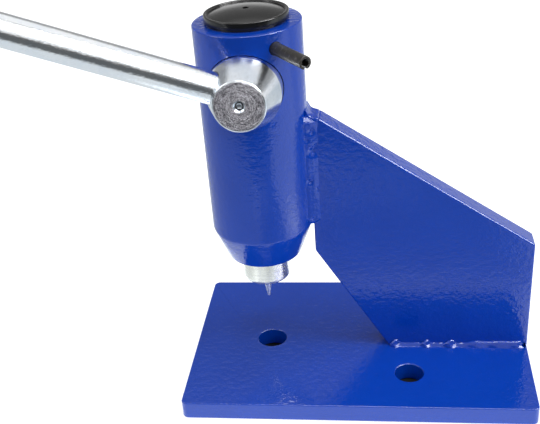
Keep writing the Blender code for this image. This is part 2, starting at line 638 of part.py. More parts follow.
def add_spring(steel, dark_steel, carrier):
    """The return spring between the chamber's floor and the ram's snap ring."""
    ring_low = RAM_TOP - RETAINER_DEPTH - RAM_RING_THICKNESS
    inner = RAM_RADIUS - GROOVE_DEPTH + SNUG
    ring = open_ring(inner, inner + SNAP_RING_WIDTH, SNAP_RING_OPENING, RAM_RING_THICKNESS, 36)
    place("ram_snap_ring", ring, dark_steel, at(RAM_X, 0, ring_low), carrier)
    washer_top = ring_low - SEAT
    washer_low = washer_top - SPRING_WASHER_THICKNESS
    washer = [(RAM_RADIUS + SNUG, washer_low), (SPRING_WASHER_RADIUS, washer_low),
              (SPRING_WASHER_RADIUS, washer_top), (RAM_RADIUS + SNUG, washer_top)]
    place("spring_washer", turned(washer, ROUND_STEPS, closed=True), steel, at(RAM_X, 0, 0), carrier)
    low = GUIDE_TOP + SEAT + SPRING_WIRE_RADIUS
    high = washer_low - SEAT - SPRING_WIRE_RADIUS
    closed_pitch = 2 * SPRING_WIRE_RADIUS + SEAT
    open_pitch = (high - low - 2 * closed_pitch) / (SPRING_TURNS - 2)
    curve = bpy.data.curves.new("return_spring", "CURVE")
    curve.dimensions = "3D"
    spline = curve.splines.new("POLY")
    steps = SPRING_TURNS * SPRING_STEPS
    spline.points.add(steps)
    for step, point in enumerate(spline.points):
        turns = step / SPRING_STEPS
        open_turns = min(max(turns - 1, 0), SPRING_TURNS - 2)
        height = low + closed_pitch * (turns - open_turns) + open_pitch * open_turns
        angle = 2 * math.pi * turns
        point.co = (SPRING_MEAN_RADIUS * math.cos(angle), SPRING_MEAN_RADIUS * math.sin(angle), height, 1)
    curve.bevel_depth = SPRING_WIRE_RADIUS
    curve.bevel_resolution = 2
    curve.use_fill_caps = True
    curve.materials.append(steel)
    spring = bpy.data.objects.new("return_spring", curve)
    bpy.context.collection.objects.link(spring)
    spring.location = (RAM_X, 0, 0)


def add_empty(name, location):
    """An empty on a joint's axis that carries the pieces which move with it."""
    empty = bpy.data.objects.new(name, None)
    bpy.context.collection.objects.link(empty)
    empty.matrix_world = Matrix.Translation(location)
    return empty


def main():
    """Build the press at rest."""
    clear_scene()
    paint = finish("blue_paint", (0.02, 0.06, 0.42), 0.28, 0)
    zinc = finish("zinc_plate", (0.68, 0.69, 0.7), 0.24, 1)
    dark_steel = finish("black_steel", (0.035, 0.035, 0.035), 0.45, 0.8)
    steel = finish("bright_steel", (0.5, 0.5, 0.5), 0.35, 1)
    brass = finish("brass", (0.72, 0.5, 0.2), 0.3, 1)
    plastic = finish("black_plastic", (0.012, 0.012, 0.012), 0.32, 0)

    add_base_plate(paint)
    add_column_plate(paint)
    add_base_welds(paint)
    add_barrel_welds(paint)
    add_barrel(paint)
    add_stop_pin(dark_steel)
    add_top_plug(plastic)
    add_guide_screw(dark_steel)

    pivot = add_empty("lever_pivot", (RAM_X, 0, SHAFT_Z))
    add_eccentric_shaft(zinc, pivot)
    add_tail_fittings(dark_steel, pivot)
    add_clamp_screw(dark_steel, pivot)
    add_lever(zinc, brass, plastic, pivot)

    carrier = add_empty("ram_carrier", (RAM_X, 0, RAM_TOP))
    add_ram(zinc, carrier)
    add_punch(dark_steel, zinc, carrier)
    add_spring(steel, dark_steel, carrier)


main()
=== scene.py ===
"""The looks of a bench hand press: its painted frame, bright shaft, lever and ram."""

from __future__ import annotations

import logging
import math
from dataclasses import dataclass, field
from enum import Enum
from typing import Iterable, Sequence

import bmesh
import bpy
from mathutils import Matrix, Vector, noise


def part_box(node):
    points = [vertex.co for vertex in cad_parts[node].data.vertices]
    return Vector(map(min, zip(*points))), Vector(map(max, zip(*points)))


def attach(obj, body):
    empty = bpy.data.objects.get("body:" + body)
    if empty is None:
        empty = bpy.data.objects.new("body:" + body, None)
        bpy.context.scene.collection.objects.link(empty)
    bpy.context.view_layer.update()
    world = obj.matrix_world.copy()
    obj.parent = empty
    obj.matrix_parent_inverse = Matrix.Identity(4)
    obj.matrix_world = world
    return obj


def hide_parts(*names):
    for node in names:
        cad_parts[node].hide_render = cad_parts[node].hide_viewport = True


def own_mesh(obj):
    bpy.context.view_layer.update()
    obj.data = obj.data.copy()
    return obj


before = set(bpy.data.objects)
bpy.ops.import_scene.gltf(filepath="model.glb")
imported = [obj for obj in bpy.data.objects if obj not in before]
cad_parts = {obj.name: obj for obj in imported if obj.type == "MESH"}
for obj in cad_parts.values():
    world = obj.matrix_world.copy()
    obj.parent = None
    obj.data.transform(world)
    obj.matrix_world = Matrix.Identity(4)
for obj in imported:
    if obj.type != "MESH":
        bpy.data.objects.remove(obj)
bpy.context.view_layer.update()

LOG = logging.getLogger("hand_press")
MM = 0.001
DEG = math.pi / 180
HAIR = 0.01 * MM    # points nearer than this are one
PAST = 5 * MM       # how far a drill runs past a face

Point = tuple[float, float]
Color = tuple[float, float, float]
Place = tuple[float, float, float]
Edge = tuple[float, float]
Profile = Sequence[Sequence[float]]
FRONT = Matrix.Rotation(math.pi / 2, 4, "X")
BACK = Matrix.Rotation(-math.pi / 2, 4, "X")


class Slot(Enum):
    """The record's material slots."""

    PAINT = "blue_paint"
    ZINC = "zinc_plate"
    BLACK = "black_steel"
    BRIGHT = "bright_steel"
    BRASS = "brass"
    PLASTIC = "black_plastic"


# ---------------------------------------------------------------- shader maths


@dataclass(frozen=True)
class Value:
    """A number socket that takes part in Python expressions."""

    graph: Graph
    socket: bpy.types.NodeSocket

    def __add__(self, other: object) -> Value:
        """Sum."""
        return self.graph.math("ADD", self, other)

    __radd__ = __add__

    def __sub__(self, other: object) -> Value:
        """Difference."""
        return self.graph.math("SUBTRACT", self, other)

    def __rsub__(self, other: object) -> Value:
        """Reflected difference."""
        return self.graph.math("SUBTRACT", other, self)

    def __mul__(self, other: object) -> Value:
        """Product."""
        return self.graph.math("MULTIPLY", self, other)

    __rmul__ = __mul__

    def above(self, limit: float, soft: float) -> Value:
        """A mask that rises from 0 to 1 at the limit, over a step of half width soft."""
        return self.graph.step(self, limit - soft, limit + soft)


@dataclass(frozen=True)
class Noise:
    """The fineness and detail of a cloudy pattern."""

    scale: float
    detail: float = 3.0
    rough: float = 0.5


class Graph:
    """Builds one node tree."""

    def __init__(self, tree: bpy.types.NodeTree) -> None:
        """Start from an emptied tree."""
        self.tree = tree
        tree.nodes.clear()

    def node(self, kind: str, settings: dict[str, object] | None = None,
             inputs: dict[str | int, object] | None = None) -> bpy.types.Node:
        """Add a node.

        Args:
            kind: The node's type name.
            settings: Attributes to set before the sockets are touched.
            inputs: A value, socket or Value for each named or numbered input.

        Returns:
            The node.
        """
        made = self.tree.nodes.new(kind)
        for name, value in (settings or {}).items():
            setattr(made, name, value)
        for name, value in (inputs or {}).items():
            self.plug(made.inputs[name], value)
        return made

    def plug(self, socket: bpy.types.NodeSocket, value: object) -> None:
        """Link a socket or Value to an input, or set the input's own number.

        Args:
            socket: The input.
            value: What goes into it.
        """
        if isinstance(value, Value):
            value = value.socket
        if isinstance(value, bpy.types.NodeSocket):
            self.tree.links.new(value, socket)
        else:
            socket.default_value = value

    def coat(self, shader: bpy.types.Node, color: object, rough: object, normal: object) -> None:
        """Give a shader its colour, roughness and normal."""
        for name, value in (("Base Color", color), ("Roughness", rough), ("Normal", normal)):
            self.plug(shader.inputs[name], value)

    def close(self, kind: str, surface: bpy.types.NodeSocket) -> None:
        """Add the output node and give it its surface."""
        self.node(kind, {}, {"Surface": surface})

    def math(self, operation: str, first: object, second: object = 0.0) -> Value:
        """Add a Math node of two inputs."""
        made = self.node("ShaderNodeMath", {"operation": operation}, {0: first, 1: second})
        return Value(self, made.outputs[0])

    def step(self, value: object, low: float, high: float) -> Value:
        """A smooth step of a value between two limits.

        Args:
            value: What to step.
            low: Where it leaves 0.
            high: Where it reaches 1.

        Returns:
            The step.
        """
        made = self.node("ShaderNodeMapRange", {"interpolation_type": "SMOOTHSTEP"},
                         {"Value": value, "From Min": low, "From Max": high})
        return Value(self, made.outputs["Result"])

    def place(self) -> bpy.types.NodeSocket:
        """The object's own coordinates."""
        return self.node("ShaderNodeTexCoord").outputs["Object"]

    def moved(self, vector: object, turn: Place = (0, 0, 0),
              size: Place = (1, 1, 1)) -> bpy.types.NodeSocket:
        """Turn and stretch coordinates.

        Args:
            vector: The coordinates.
            turn: Angles about X, Y and Z.
            size: The stretch along each axis.

        Returns:
            The new coordinates.
        """
        made = self.node("ShaderNodeMapping", {"vector_type": "POINT"},
                         {"Vector": vector, "Rotation": turn, "Scale": size})
        return made.outputs["Vector"]

    def axes(self, vector: object) -> tuple[Value, Value, Value]:
        """The three numbers of a vector."""
        made = self.node("ShaderNodeSeparateXYZ", {}, {0: vector})
        return tuple(Value(self, made.outputs[index]) for index in range(3))

    def clouds(self, vector: object, pattern: Noise) -> Value:
        """A cloudy pattern between 0 and 1.

        Args:
            vector: The coordinates.
            pattern: The pattern's scale and detail.

        Returns:
            The pattern.
        """
        made = self.node("ShaderNodeTexNoise", {}, {
            "Vector": vector, "Scale": pattern.scale, "Detail": pattern.detail,
            "Roughness": pattern.rough})
        return Value(self, made.outputs["Fac"])

    def blend(self, factor: object, first: object, second: object) -> bpy.types.NodeSocket:
        """Mix two colours by a factor."""
        inputs = {"Factor": factor, 6: opaque(first), 7: opaque(second)}
        return self.node("ShaderNodeMix", {"data_type": "RGBA"}, inputs).outputs[2]

    def bump(self, height: object, distance: float,
             below: bpy.types.NodeSocket | None = None) -> bpy.types.NodeSocket:
        """Turn a height into a normal, on top of another normal where one is given.

        Args:
            height: The height, from 0 to 1.
            distance: The depth of a full step.
            below: The normal underneath.

        Returns:
            The normal.
        """
        base = {"Normal": below} if below else {}
        return self.node("ShaderNodeBump", {}, {
            "Height": height, "Distance": distance, "Strength": 1.0} | base).outputs["Normal"]

    def ray(self, kind: str) -> Value:
        """1 for rays of a kind, 0 for the rest."""
        return Value(self, self.node("ShaderNodeLightPath").outputs[kind])


def opaque(color: object) -> object:
    """A colour with full alpha, or the socket that it already is."""
    return (*color, 1.0) if isinstance(color, tuple) else color


# ---------------------------------------------------------------- finishes


class Finish:
    """A surface finish that can be built as a material."""

    name: str
    slot: Slot

    def dress(self, graph: Graph, shader: bpy.types.Node) -> None:
        """Fill in the shader's inputs."""
        raise NotImplementedError

    def build(self) -> bpy.types.Material:
        """Make the material.

        Returns:
            The material, ready to assign.
        """
        made = bpy.data.materials.new(self.name)
        made.use_nodes = True
        graph = Graph(made.node_tree)
        shader = graph.node("ShaderNodeBsdfPrincipled")
        graph.close("ShaderNodeOutputMaterial", shader.outputs[0])
        self.dress(graph, shader)
        LOG.info("finish %s", self.name)
        return made


@dataclass(frozen=True)
class PowderCoat(Finish):
    """Glossy blue powder coat with orange peel over rolled or turned steel."""

    name: str = "blue_powder_coat"
    slot: Slot = Slot.PAINT
    color: Color = (0.001, 0.045, 0.38)
    deep: Color = (0.001, 0.036, 0.32)
    index: float = 1.5
    roughness: float = 0.06
    patch_roughness: float = 0.05
    dust_roughness: float = 0.06
    dust_edge: Edge = (0.6, 0.1)
    peel: float = 0.16 * MM
    fine_peel: float = 0.35
    grain: float = 0.02 * MM
    grain_stretch: Place = (0.08, 1.0, 1.0)

    def dress(self, graph: Graph, shader: bpy.types.Node) -> None:
        """Lay orange peel over the metal's grain, in a slightly uneven colour.

        Args:
            graph: The material's nodes.
            shader: The shader to fill in.
        """
        place = graph.place()
        patches = graph.clouds(place, Noise(60, 2))
        dust = graph.clouds(place, Noise(900)).above(*self.dust_edge)
        rough = self.roughness + self.patch_roughness * patches + self.dust_roughness * dust
        fine = graph.clouds(place, Noise(1300, 1))
        peel = graph.clouds(place, Noise(450, 2, 0.45)) + self.fine_peel * fine
        grain = graph.clouds(graph.moved(place, size=self.grain_stretch), Noise(1300, 2))
        normal = graph.bump(peel, self.peel, graph.bump(grain, self.grain))
        shader.inputs["IOR"].default_value = self.index
        graph.coat(shader, graph.blend(patches, self.deep, self.color), rough, normal)


@dataclass(frozen=True)
class SawnFace:
    """A round sawn end face of a shaft along Y, with worn pits and arcs."""

    plane: float
    radius: float
    center: Point
    cover: float = 0.05 * MM
    cover_soft: float = 0.02 * MM
    rim_soft: float = 0.15 * MM
    pit_edge: Edge = (0.52, 0.12)
    arc_edge: Edge = (0.5, 0.14)
    arc_drift: float = 0.22
    middle_edge: Edge = (0.45, 0.4)
    wear: tuple[float, float, float] = (0.42, 0.4, 0.14)
    dark: Color = (0.07, 0.066, 0.076)
    light: Color = (0.46, 0.45, 0.48)
    roughness: float = 0.22
    depth: float = 0.12 * MM

    def cut(self, graph: Graph, place: object, color: object, rough: Value,
            normal: object) -> tuple[object, Value, object]:
        """Lay the sawn face over a plated surface.

        Args:
            graph: The material's nodes.
            place: The object's coordinates.
            color: The plating's colour.
            rough: The plating's roughness.
            normal: The plating's normal.

        Returns:
            The colour, roughness and normal with the face.
        """
        side, depth, height = graph.axes(place)
        across, up = side - self.center[0], height - self.center[1]
        radius = graph.math("SQRT", across * across + up * up)
        on_face = 1 - depth.above(self.plane + self.cover, self.cover_soft)
        on_face = on_face * (1 - radius.above(self.radius, self.rim_soft))
        pits = graph.clouds(place, Noise(2200, 4, 0.75)).above(*self.pit_edge)
        ring = graph.node("ShaderNodeCombineXYZ", {}, {
            0: radius, 1: self.arc_drift * side, 2: self.arc_drift * height})
        arcs = graph.clouds(ring.outputs[0], Noise(1700, 3, 0.6)).above(*self.arc_edge)
        middle = 1 - radius.above(*(share * self.radius for share in self.middle_edge))
        worn = pits * self.wear[0] + arcs * self.wear[1] + middle * self.wear[2]
        color = graph.blend(on_face, color, graph.blend(worn, self.dark, self.light))
        normal = graph.bump((pits + arcs) * on_face, self.depth, normal)
        return color, rough + on_face * self.roughness, normal


@dataclass(frozen=True)
class ZincPlate(Finish):
    """Bright zinc plating with drawn streaks along an axis and cloudy passivation."""

    name: str = "bright_zinc"
    slot: Slot = Slot.ZINC
    color: Color = (0.86, 0.88, 0.91)
    cloud: Color = (0.74, 0.79, 0.87)
    cloud_edge: Edge = (0.5, 0.25)
    speck_edge: Edge = (0.62, 0.08)
    speck_cover: float = 0.3
    speck_shade: float = 0.55
    roughness: float = 0.1
    streak_roughness: float = 0.08
    cloud_roughness: float = 0.05
    streak_turn: Place = (0.0, 0.0, 0.0)
    streak_stretch: Place = (0.04, 1.0, 1.0)
    streak: float = 0.012 * MM
    pocks: float = 0.0
    wide_pocks: float = 0.6
    metallic: float = 1.0
    face: SawnFace | None = None

    def dress(self, graph: Graph, shader: bpy.types.Node) -> None:
        """Lay clouds and streaks on the metal, with dents and a sawn face where they are asked for.

        Args:
            graph: The material's nodes.
            shader: The shader to fill in.
        """
        place = graph.place()
        drawn = graph.moved(graph.moved(place, turn=self.streak_turn), size=self.streak_stretch)
        streaks = graph.clouds(drawn, Noise(900))
        clouds = graph.clouds(place, Noise(90, 3, 0.6))
        specks = graph.clouds(drawn, Noise(2600, 2)).above(*self.speck_edge)
        dull = tuple(part * self.speck_shade for part in self.color)
        color = graph.blend(clouds.above(*self.cloud_edge), self.color, self.cloud)
        color = graph.blend(self.speck_cover * specks, color, dull)
        rough = self.roughness + self.streak_roughness * streaks + self.cloud_roughness * clouds
        normal = graph.bump(streaks, self.streak)
        if self.pocks:
            wide = graph.clouds(place, Noise(90, 2))
            dents = graph.clouds(place, Noise(520, 4, 0.7)) + self.wide_pocks * wide
            normal = graph.bump(dents, self.pocks, normal)
        if self.face:
            color, rough, normal = self.face.cut(graph, place, color, rough, normal)
        shader.inputs["Metallic"].default_value = self.metallic
        graph.coat(shader, color, rough, normal)


@dataclass(frozen=True)
class DarkMetal(Finish):
    """Blackened or plain steel with fine scuffs."""

    name: str = "blackened_steel"
    slot: Slot = Slot.BLACK
    color: Color = (0.03, 0.029, 0.028)
    worn: Color = (0.16, 0.155, 0.15)
    wear_edge: Edge = (0.62, 0.1)
    roughness: float = 0.38
    scuff_roughness: float = 0.15
    scuff: float = 0.03 * MM
    metallic: float = 0.7

    def dress(self, graph: Graph, shader: bpy.types.Node) -> None:
        """Wear a dark colour in patches.

        Args:
            graph: The material's nodes.
            shader: The shader to fill in.
        """
        scuffs = graph.clouds(graph.place(), Noise(700, 5, 0.7))
        shader.inputs["Metallic"].default_value = self.metallic
        graph.coat(shader, graph.blend(scuffs.above(*self.wear_edge), self.color, self.worn),
                   self.roughness + self.scuff_roughness * scuffs, graph.bump(scuffs, self.scuff))


@dataclass(frozen=True)
class BlackPlastic(Finish):
    """Satin black moulded plastic."""

    name: str = "satin_plastic"
    slot: Slot = Slot.PLASTIC
    color: Color = (0.0035, 0.0035, 0.0035)
    rubbed_shade: float = 1.8
    roughness: float = 0.14
    rubbed_roughness: float = 0.1
    grain: float = 0.008 * MM

    def dress(self, graph: Graph, shader: bpy.types.Node) -> None:
        """Rub a fine moulded grain in places.

        Args:
            graph: The material's nodes.
            shader: The shader to fill in.
        """
        place = graph.place()
        grain = graph.clouds(place, Noise(2400, 2))
        rubbed = graph.clouds(place, Noise(120))
        lighter = tuple(part * self.rubbed_shade for part in self.color)
        graph.coat(shader, graph.blend(rubbed, self.color, lighter),
                   self.roughness + self.rubbed_roughness * rubbed, graph.bump(grain, self.grain))


@dataclass(frozen=True)
class Brass(Finish):
    """Turned brass, slightly dulled."""

    name: str = "turned_brass"
    slot: Slot = Slot.BRASS
    color: Color = (0.80, 0.56, 0.24)
    dull: Color = (0.62, 0.42, 0.17)
    roughness: float = 0.22
    dull_roughness: float = 0.14
    marks: float = 0.01 * MM

    def dress(self, graph: Graph, shader: bpy.types.Node) -> None:
        """Dull the metal in patches over fine turning marks.

        Args:
            graph: The material's nodes.
            shader: The shader to fill in.
        """
        place = graph.place()
        patches = graph.clouds(place, Noise(260))
        marks = graph.clouds(place, Noise(1800, 2))
        shader.inputs["Metallic"].default_value = 1.0
        graph.coat(shader, graph.blend(patches, self.color, self.dull),
                   self.roughness + self.dull_roughness * patches, graph.bump(marks, self.marks))


@dataclass
class Wardrobe:
    """Makes each finish once."""

    made: dict[Finish, bpy.types.Material] = field(default_factory=dict)

    def put_on(self, thing: bpy.types.Object, finish: Finish) -> None:
        """Give an object a finish as its only material.

        Args:
            thing: The object.
            finish: Its finish.
        """
        if finish not in self.made:
            self.made[finish] = finish.build()
        thing.data.materials.clear()
        thing.data.materials.append(self.made[finish])


WARDROBE = Wardrobe()


# ---------------------------------------------------------------- mesh building


def softened(corners: Profile, steps: int = 4) -> list[Point]:
    """Round the corners of a profile with arcs.

    Args:
        corners: Each corner as (x, y), or as (x, y, rounding distance) for a round one.
        steps: Facets in each arc.

    Returns:
        The profile with its arcs.
    """
    points: list[Point] = []
    spots = [Vector(corner[:2]) for corner in corners]
    for index, (corner, middle) in enumerate(zip(corners, spots)):
        if len(corner) == 2:
            points.append((corner[0], corner[1]))
            continue
        before = (spots[index - 1] - middle).normalized() * corner[2] + middle
        after = (spots[index + 1] - middle).normalized() * corner[2] + middle
        for step in range(steps + 1):
            share = step / steps
            curve = before.lerp(middle, share).lerp(middle.lerp(after, share), share)
            points.append((curve.x, curve.y))
    return points


def arc(center: Point, radius: float, start: float, end: float, steps: int) -> list[Point]:
    """Points along an arc, with both its ends.

    Args:
        center: The arc's center.
        radius: Its radius.
        start: Its first angle.
        end: Its last angle.
        steps: Facets along it.

    Returns:
        The points.
    """
    turns = [start + (end - start) * step / steps for step in range(steps + 1)]
    return [(center[0] + radius * math.cos(turn), center[1] + radius * math.sin(turn))
            for turn in turns]


def turned(profile: Profile, sides: int, closed: bool = False) -> bmesh.types.BMesh:
    """Spin a profile round Z.

    Args:
        profile: Points as (radius, height).
        sides: Facets round the turn.
        closed: Whether the profile is a ring that clears the axis.

    Returns:
        The spun mesh.
    """
    bm = bmesh.new()
    verts = [bm.verts.new((radius, 0, height)) for radius, height in profile]
    edges = [bm.edges.new(pair) for pair in zip(verts, verts[1:])]
    if closed:
        edges.append(bm.edges.new((verts[-1], verts[0])))
    bmesh.ops.spin(bm, geom=verts + edges, cent=(0, 0, 0), axis=(0, 0, 1), angle=2 * math.pi,
                   steps=sides, use_merge=True)
    bmesh.ops.remove_doubles(bm, verts=bm.verts[:], dist=1e-7)
    bmesh.ops.recalc_face_normals(bm, faces=bm.faces[:])
    return bm


def prism(outline: Profile, low: float, high: float, layers: int = 1) -> bmesh.types.BMesh:
    """Extrude an outline along Z in equal layers.

    Args:
        outline: Points as (x, y).
        low: Height of the first end.
        high: Height of the last end.
        layers: Number of equal steps.

    Returns:
        The closed mesh.
    """
    bm = bmesh.new()
    geometry: list[object] = [bm.faces.new([bm.verts.new((x, y, low)) for x, y in outline])]
    for _ in range(layers):
        raised = bmesh.ops.extrude_face_region(bm, geom=geometry)["geom"]
        moved = [item for item in raised if isinstance(item, bmesh.types.BMVert)]
        bmesh.ops.translate(bm, verts=moved, vec=(0, 0, (high - low) / layers))
        geometry = [item for item in raised if isinstance(item, bmesh.types.BMFace)]
    bmesh.ops.recalc_face_normals(bm, faces=bm.faces[:])
    return bm


def creased(target: bpy.types.Object, angle: float = 35 * DEG) -> None:
    """Shade an object smooth, with sharp edges above an angle."""
    target.data.shade_smooth()
    target.data.set_sharp_from_angle(angle=angle)


def piece(name: str, bm: bmesh.types.BMesh, matrix: Matrix) -> bpy.types.Object:
    """Turn a bmesh into an object at the origin, with its place in its mesh.

    Args:
        name: The object's name.
        bm: The mesh, freed here.
        matrix: Where the mesh goes.

    Returns:
        The object.
    """
    bmesh.ops.transform(bm, matrix=matrix, verts=bm.verts[:])
    if matrix.determinant() < 0:
        bmesh.ops.reverse_faces(bm, faces=bm.faces[:])
    mesh = bpy.data.meshes.new(name)
    bm.to_mesh(mesh)
    bm.free()
    made = bpy.data.objects.new(name, mesh)
    bpy.context.collection.objects.link(made)
    creased(made)
    return made


def lathe(name: str, corners: Profile, matrix: Matrix, sides: int = 96, facets: int = 4,
          closed: bool = False) -> bpy.types.Object:
    """A turned piece whose corners are softened."""
    return piece(name, turned(softened(corners, facets), sides, closed), matrix)


def applied(target: bpy.types.Object) -> None:
    """Bake an object's modifiers into its mesh.

    Args:
        target: The object to change.
    """
    bpy.context.view_layer.update()
    graph = bpy.context.evaluated_depsgraph_get()
    mesh = bpy.data.meshes.new_from_object(target.evaluated_get(graph))
    target.modifiers.clear()
    target.data = mesh


def carve(target: bpy.types.Object, cutters: Iterable[tuple[bmesh.types.BMesh, Matrix]],
          operation: str = "DIFFERENCE") -> None:
    """Cut shapes out of an object, or join them to it, and bake the result.

    Args:
        target: The object to change.
        cutters: Each shape and its place.
        operation: The boolean's name.
    """
    spent = []
    for number, (shape, matrix) in enumerate(cutters):
        cutter = piece(f"cutter_{number}", shape, matrix)
        step = target.modifiers.new(cutter.name, "BOOLEAN")
        step.operation = operation
        step.solver = "EXACT"
        step.object = cutter
        spent.append(cutter)
    applied(target)
    for cutter in spent:
        bpy.data.objects.remove(cutter, do_unlink=True)


def eased(target: bpy.types.Object, width: float, segments: int, limit: float = 40 * DEG) -> None:
    """Round an object's hard edges and bake the result.

    Args:
        target: The object to change.
        width: The rounding's width.
        segments: Facets across it.
        limit: The angle above which an edge is hard.
    """
    step = target.modifiers.new("edges", "BEVEL")
    step.width = width
    step.segments = segments
    step.limit_method = "ANGLE"
    step.angle_limit = limit
    applied(target)
    creased(target, 50 * DEG)
    flat = target.modifiers.new("flat_faces", "WEIGHTED_NORMAL")
    flat.keep_sharp = True
    applied(target)


def rod(radius: float, low: float, high: float, sides: int = 96) -> bmesh.types.BMesh:
    """A plain round bar along Z."""
    return turned([(0, low), (radius, low), (radius, high), (0, high)], sides)


def at(x: float, y: float, z: float) -> Matrix:
    """A matrix that only moves."""
    return Matrix.Translation((x, y, z))


def aimed(point: Vector, direction: Vector) -> Matrix:
    """A matrix that moves the origin to a point and turns +Z to a direction."""
    return Matrix.Translation(point) @ direction.to_track_quat("Z", "Y").to_matrix().to_4x4()


@dataclass(frozen=True)
class Span:
    """A CAD node's box at rest."""

    low: Vector
    high: Vector

    @classmethod
    def of(cls, node: str) -> Span:
        """Read a node's box."""
        return cls(*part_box(node))

    @property
    def middle(self) -> Vector:
        """The box's centre."""
        return (self.low + self.high) / 2

    @property
    def size(self) -> Vector:
        """The box's sides."""
        return self.high - self.low


@dataclass(frozen=True)
class Lump:
    """A swelling of a bead, at a share of its length."""

    place: float
    width: float
    rise: float


@dataclass(frozen=True)
class Pit:
    """A hollow in a bead, at a share of its length and a share of its width."""

    place: float
    side: float
    width: float
    depth: float


@dataclass
class Bead:
    """A hand-laid fillet bead along +Z, between two walls that meet at a corner."""

    corner: Point
    toe_a: Point
    toe_b: Point
    length: float
    lumps: Sequence[Lump]
    lean: float
    crown: float
    seed: float
    pits: Sequence[Pit] = ()
    bow: float = 0.0
    skew: float = 1.0
    spread: float = 0.0
    wander: float = 0.05
    wander_length: float = 4.5 * MM
    grooves: float = 0.0
    groove_count: float = 6
    groove_length: float = 14 * MM
    flat_share: float = 0.35
    end_length: float = 2.6 * MM
    end_power: float = 0.45
    sunk: float = 0.5 * MM
    root_share: float = 0.8
    rows: int = 220
    columns: int = 14

    def share(self, height: float) -> float:
        """How large the bead is at a height.

        Args:
            height: The height along the bead.

        Returns:
            The share of its full section.
        """
        total = self.lean
        total += self.wander * noise.noise((height / self.wander_length, self.seed, 3.0))
        for lump in self.lumps:
            off = (height - lump.place * self.length) / lump.width
            total += lump.rise * math.exp(-off ** 2)
        edge = min(height, self.length - height) / self.end_length
        return total * min(max(edge, 0.0), 1.0) ** self.end_power

    def bulge(self, across: float, height: float, size: float, width: float) -> float:
        """How far the bead's face stands out at a point.

        Args:
            across: The share of the way from the first toe to the last.
            height: The height along the bead.
            size: The bead's share there.
            width: The face's full width.

        Returns:
            The distance.
        """
        crest = math.sin(math.pi * min(max(across, 0), 1) ** self.skew)
        total = self.crown * crest * (size - self.flat_share) / (1 - self.flat_share)
        spot = (across * self.groove_count, height / self.groove_length, self.seed)
        total += self.grooves * noise.noise(spot)
        for pit in self.pits:
            off = ((height - pit.place * self.length) / pit.width) ** 2
            off += ((across - pit.side) * width / pit.width) ** 2
            total -= pit.depth * math.exp(-off)
        return total

    def build(self) -> bmesh.types.BMesh:
        """Extrude the section in thin layers, then size each layer.

        Returns:
            The bead's mesh.
        """
        corner, first, last = Vector(self.corner), Vector(self.toe_a), Vector(self.toe_b)
        chord = last - first
        out = Vector((chord.y, -chord.x)).normalized()
        out *= 1 if (first - corner).dot(out) > 0 else -1
        inward = corner - out * self.sunk
        face = [tuple(first.lerp(last, step / self.columns)) for step in range(self.columns + 1)]
        back = [tuple(inward + (toe - corner) * share) for toe, share in
                ((last, self.root_share), (last, 0), (first, self.root_share))]
        bm = prism(face + back, 0, self.length, self.rows)
        for vert in bm.verts:
            flat = Vector((vert.co.x, vert.co.y))
            if (flat - first).dot(out) < -HAIR:
                continue
            across = (flat - first).dot(chord) / chord.length_squared
            size = self.share(vert.co.z + self.bow * math.sin(math.pi * across))
            reach = size + self.spread * (1 - size) * min(max(across, 0), 1)
            raised = out * self.bulge(across, vert.co.z, size, chord.length)
            vert.co.x, vert.co.y = corner + (flat - corner) * reach + raised
        bmesh.ops.recalc_face_normals(bm, faces=bm.faces[:])
        return bm


# ---------------------------------------------------------------- the press


@dataclass
class Assembly:
    """A group of pieces that rides on one body."""

    body: str

    def add(self, thing: bpy.types.Object, finish: Finish, *nodes: str) -> None:
        """Dress a piece, let it ride, and let it stand for CAD nodes.

        Args:
            thing: The piece.
            finish: Its finish.
            nodes: The CAD nodes that it stands for.
        """
        WARDROBE.put_on(thing, finish)
        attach(thing, self.body)
        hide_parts(*nodes)
        LOG.info("piece %s on %s", thing.name, self.body)


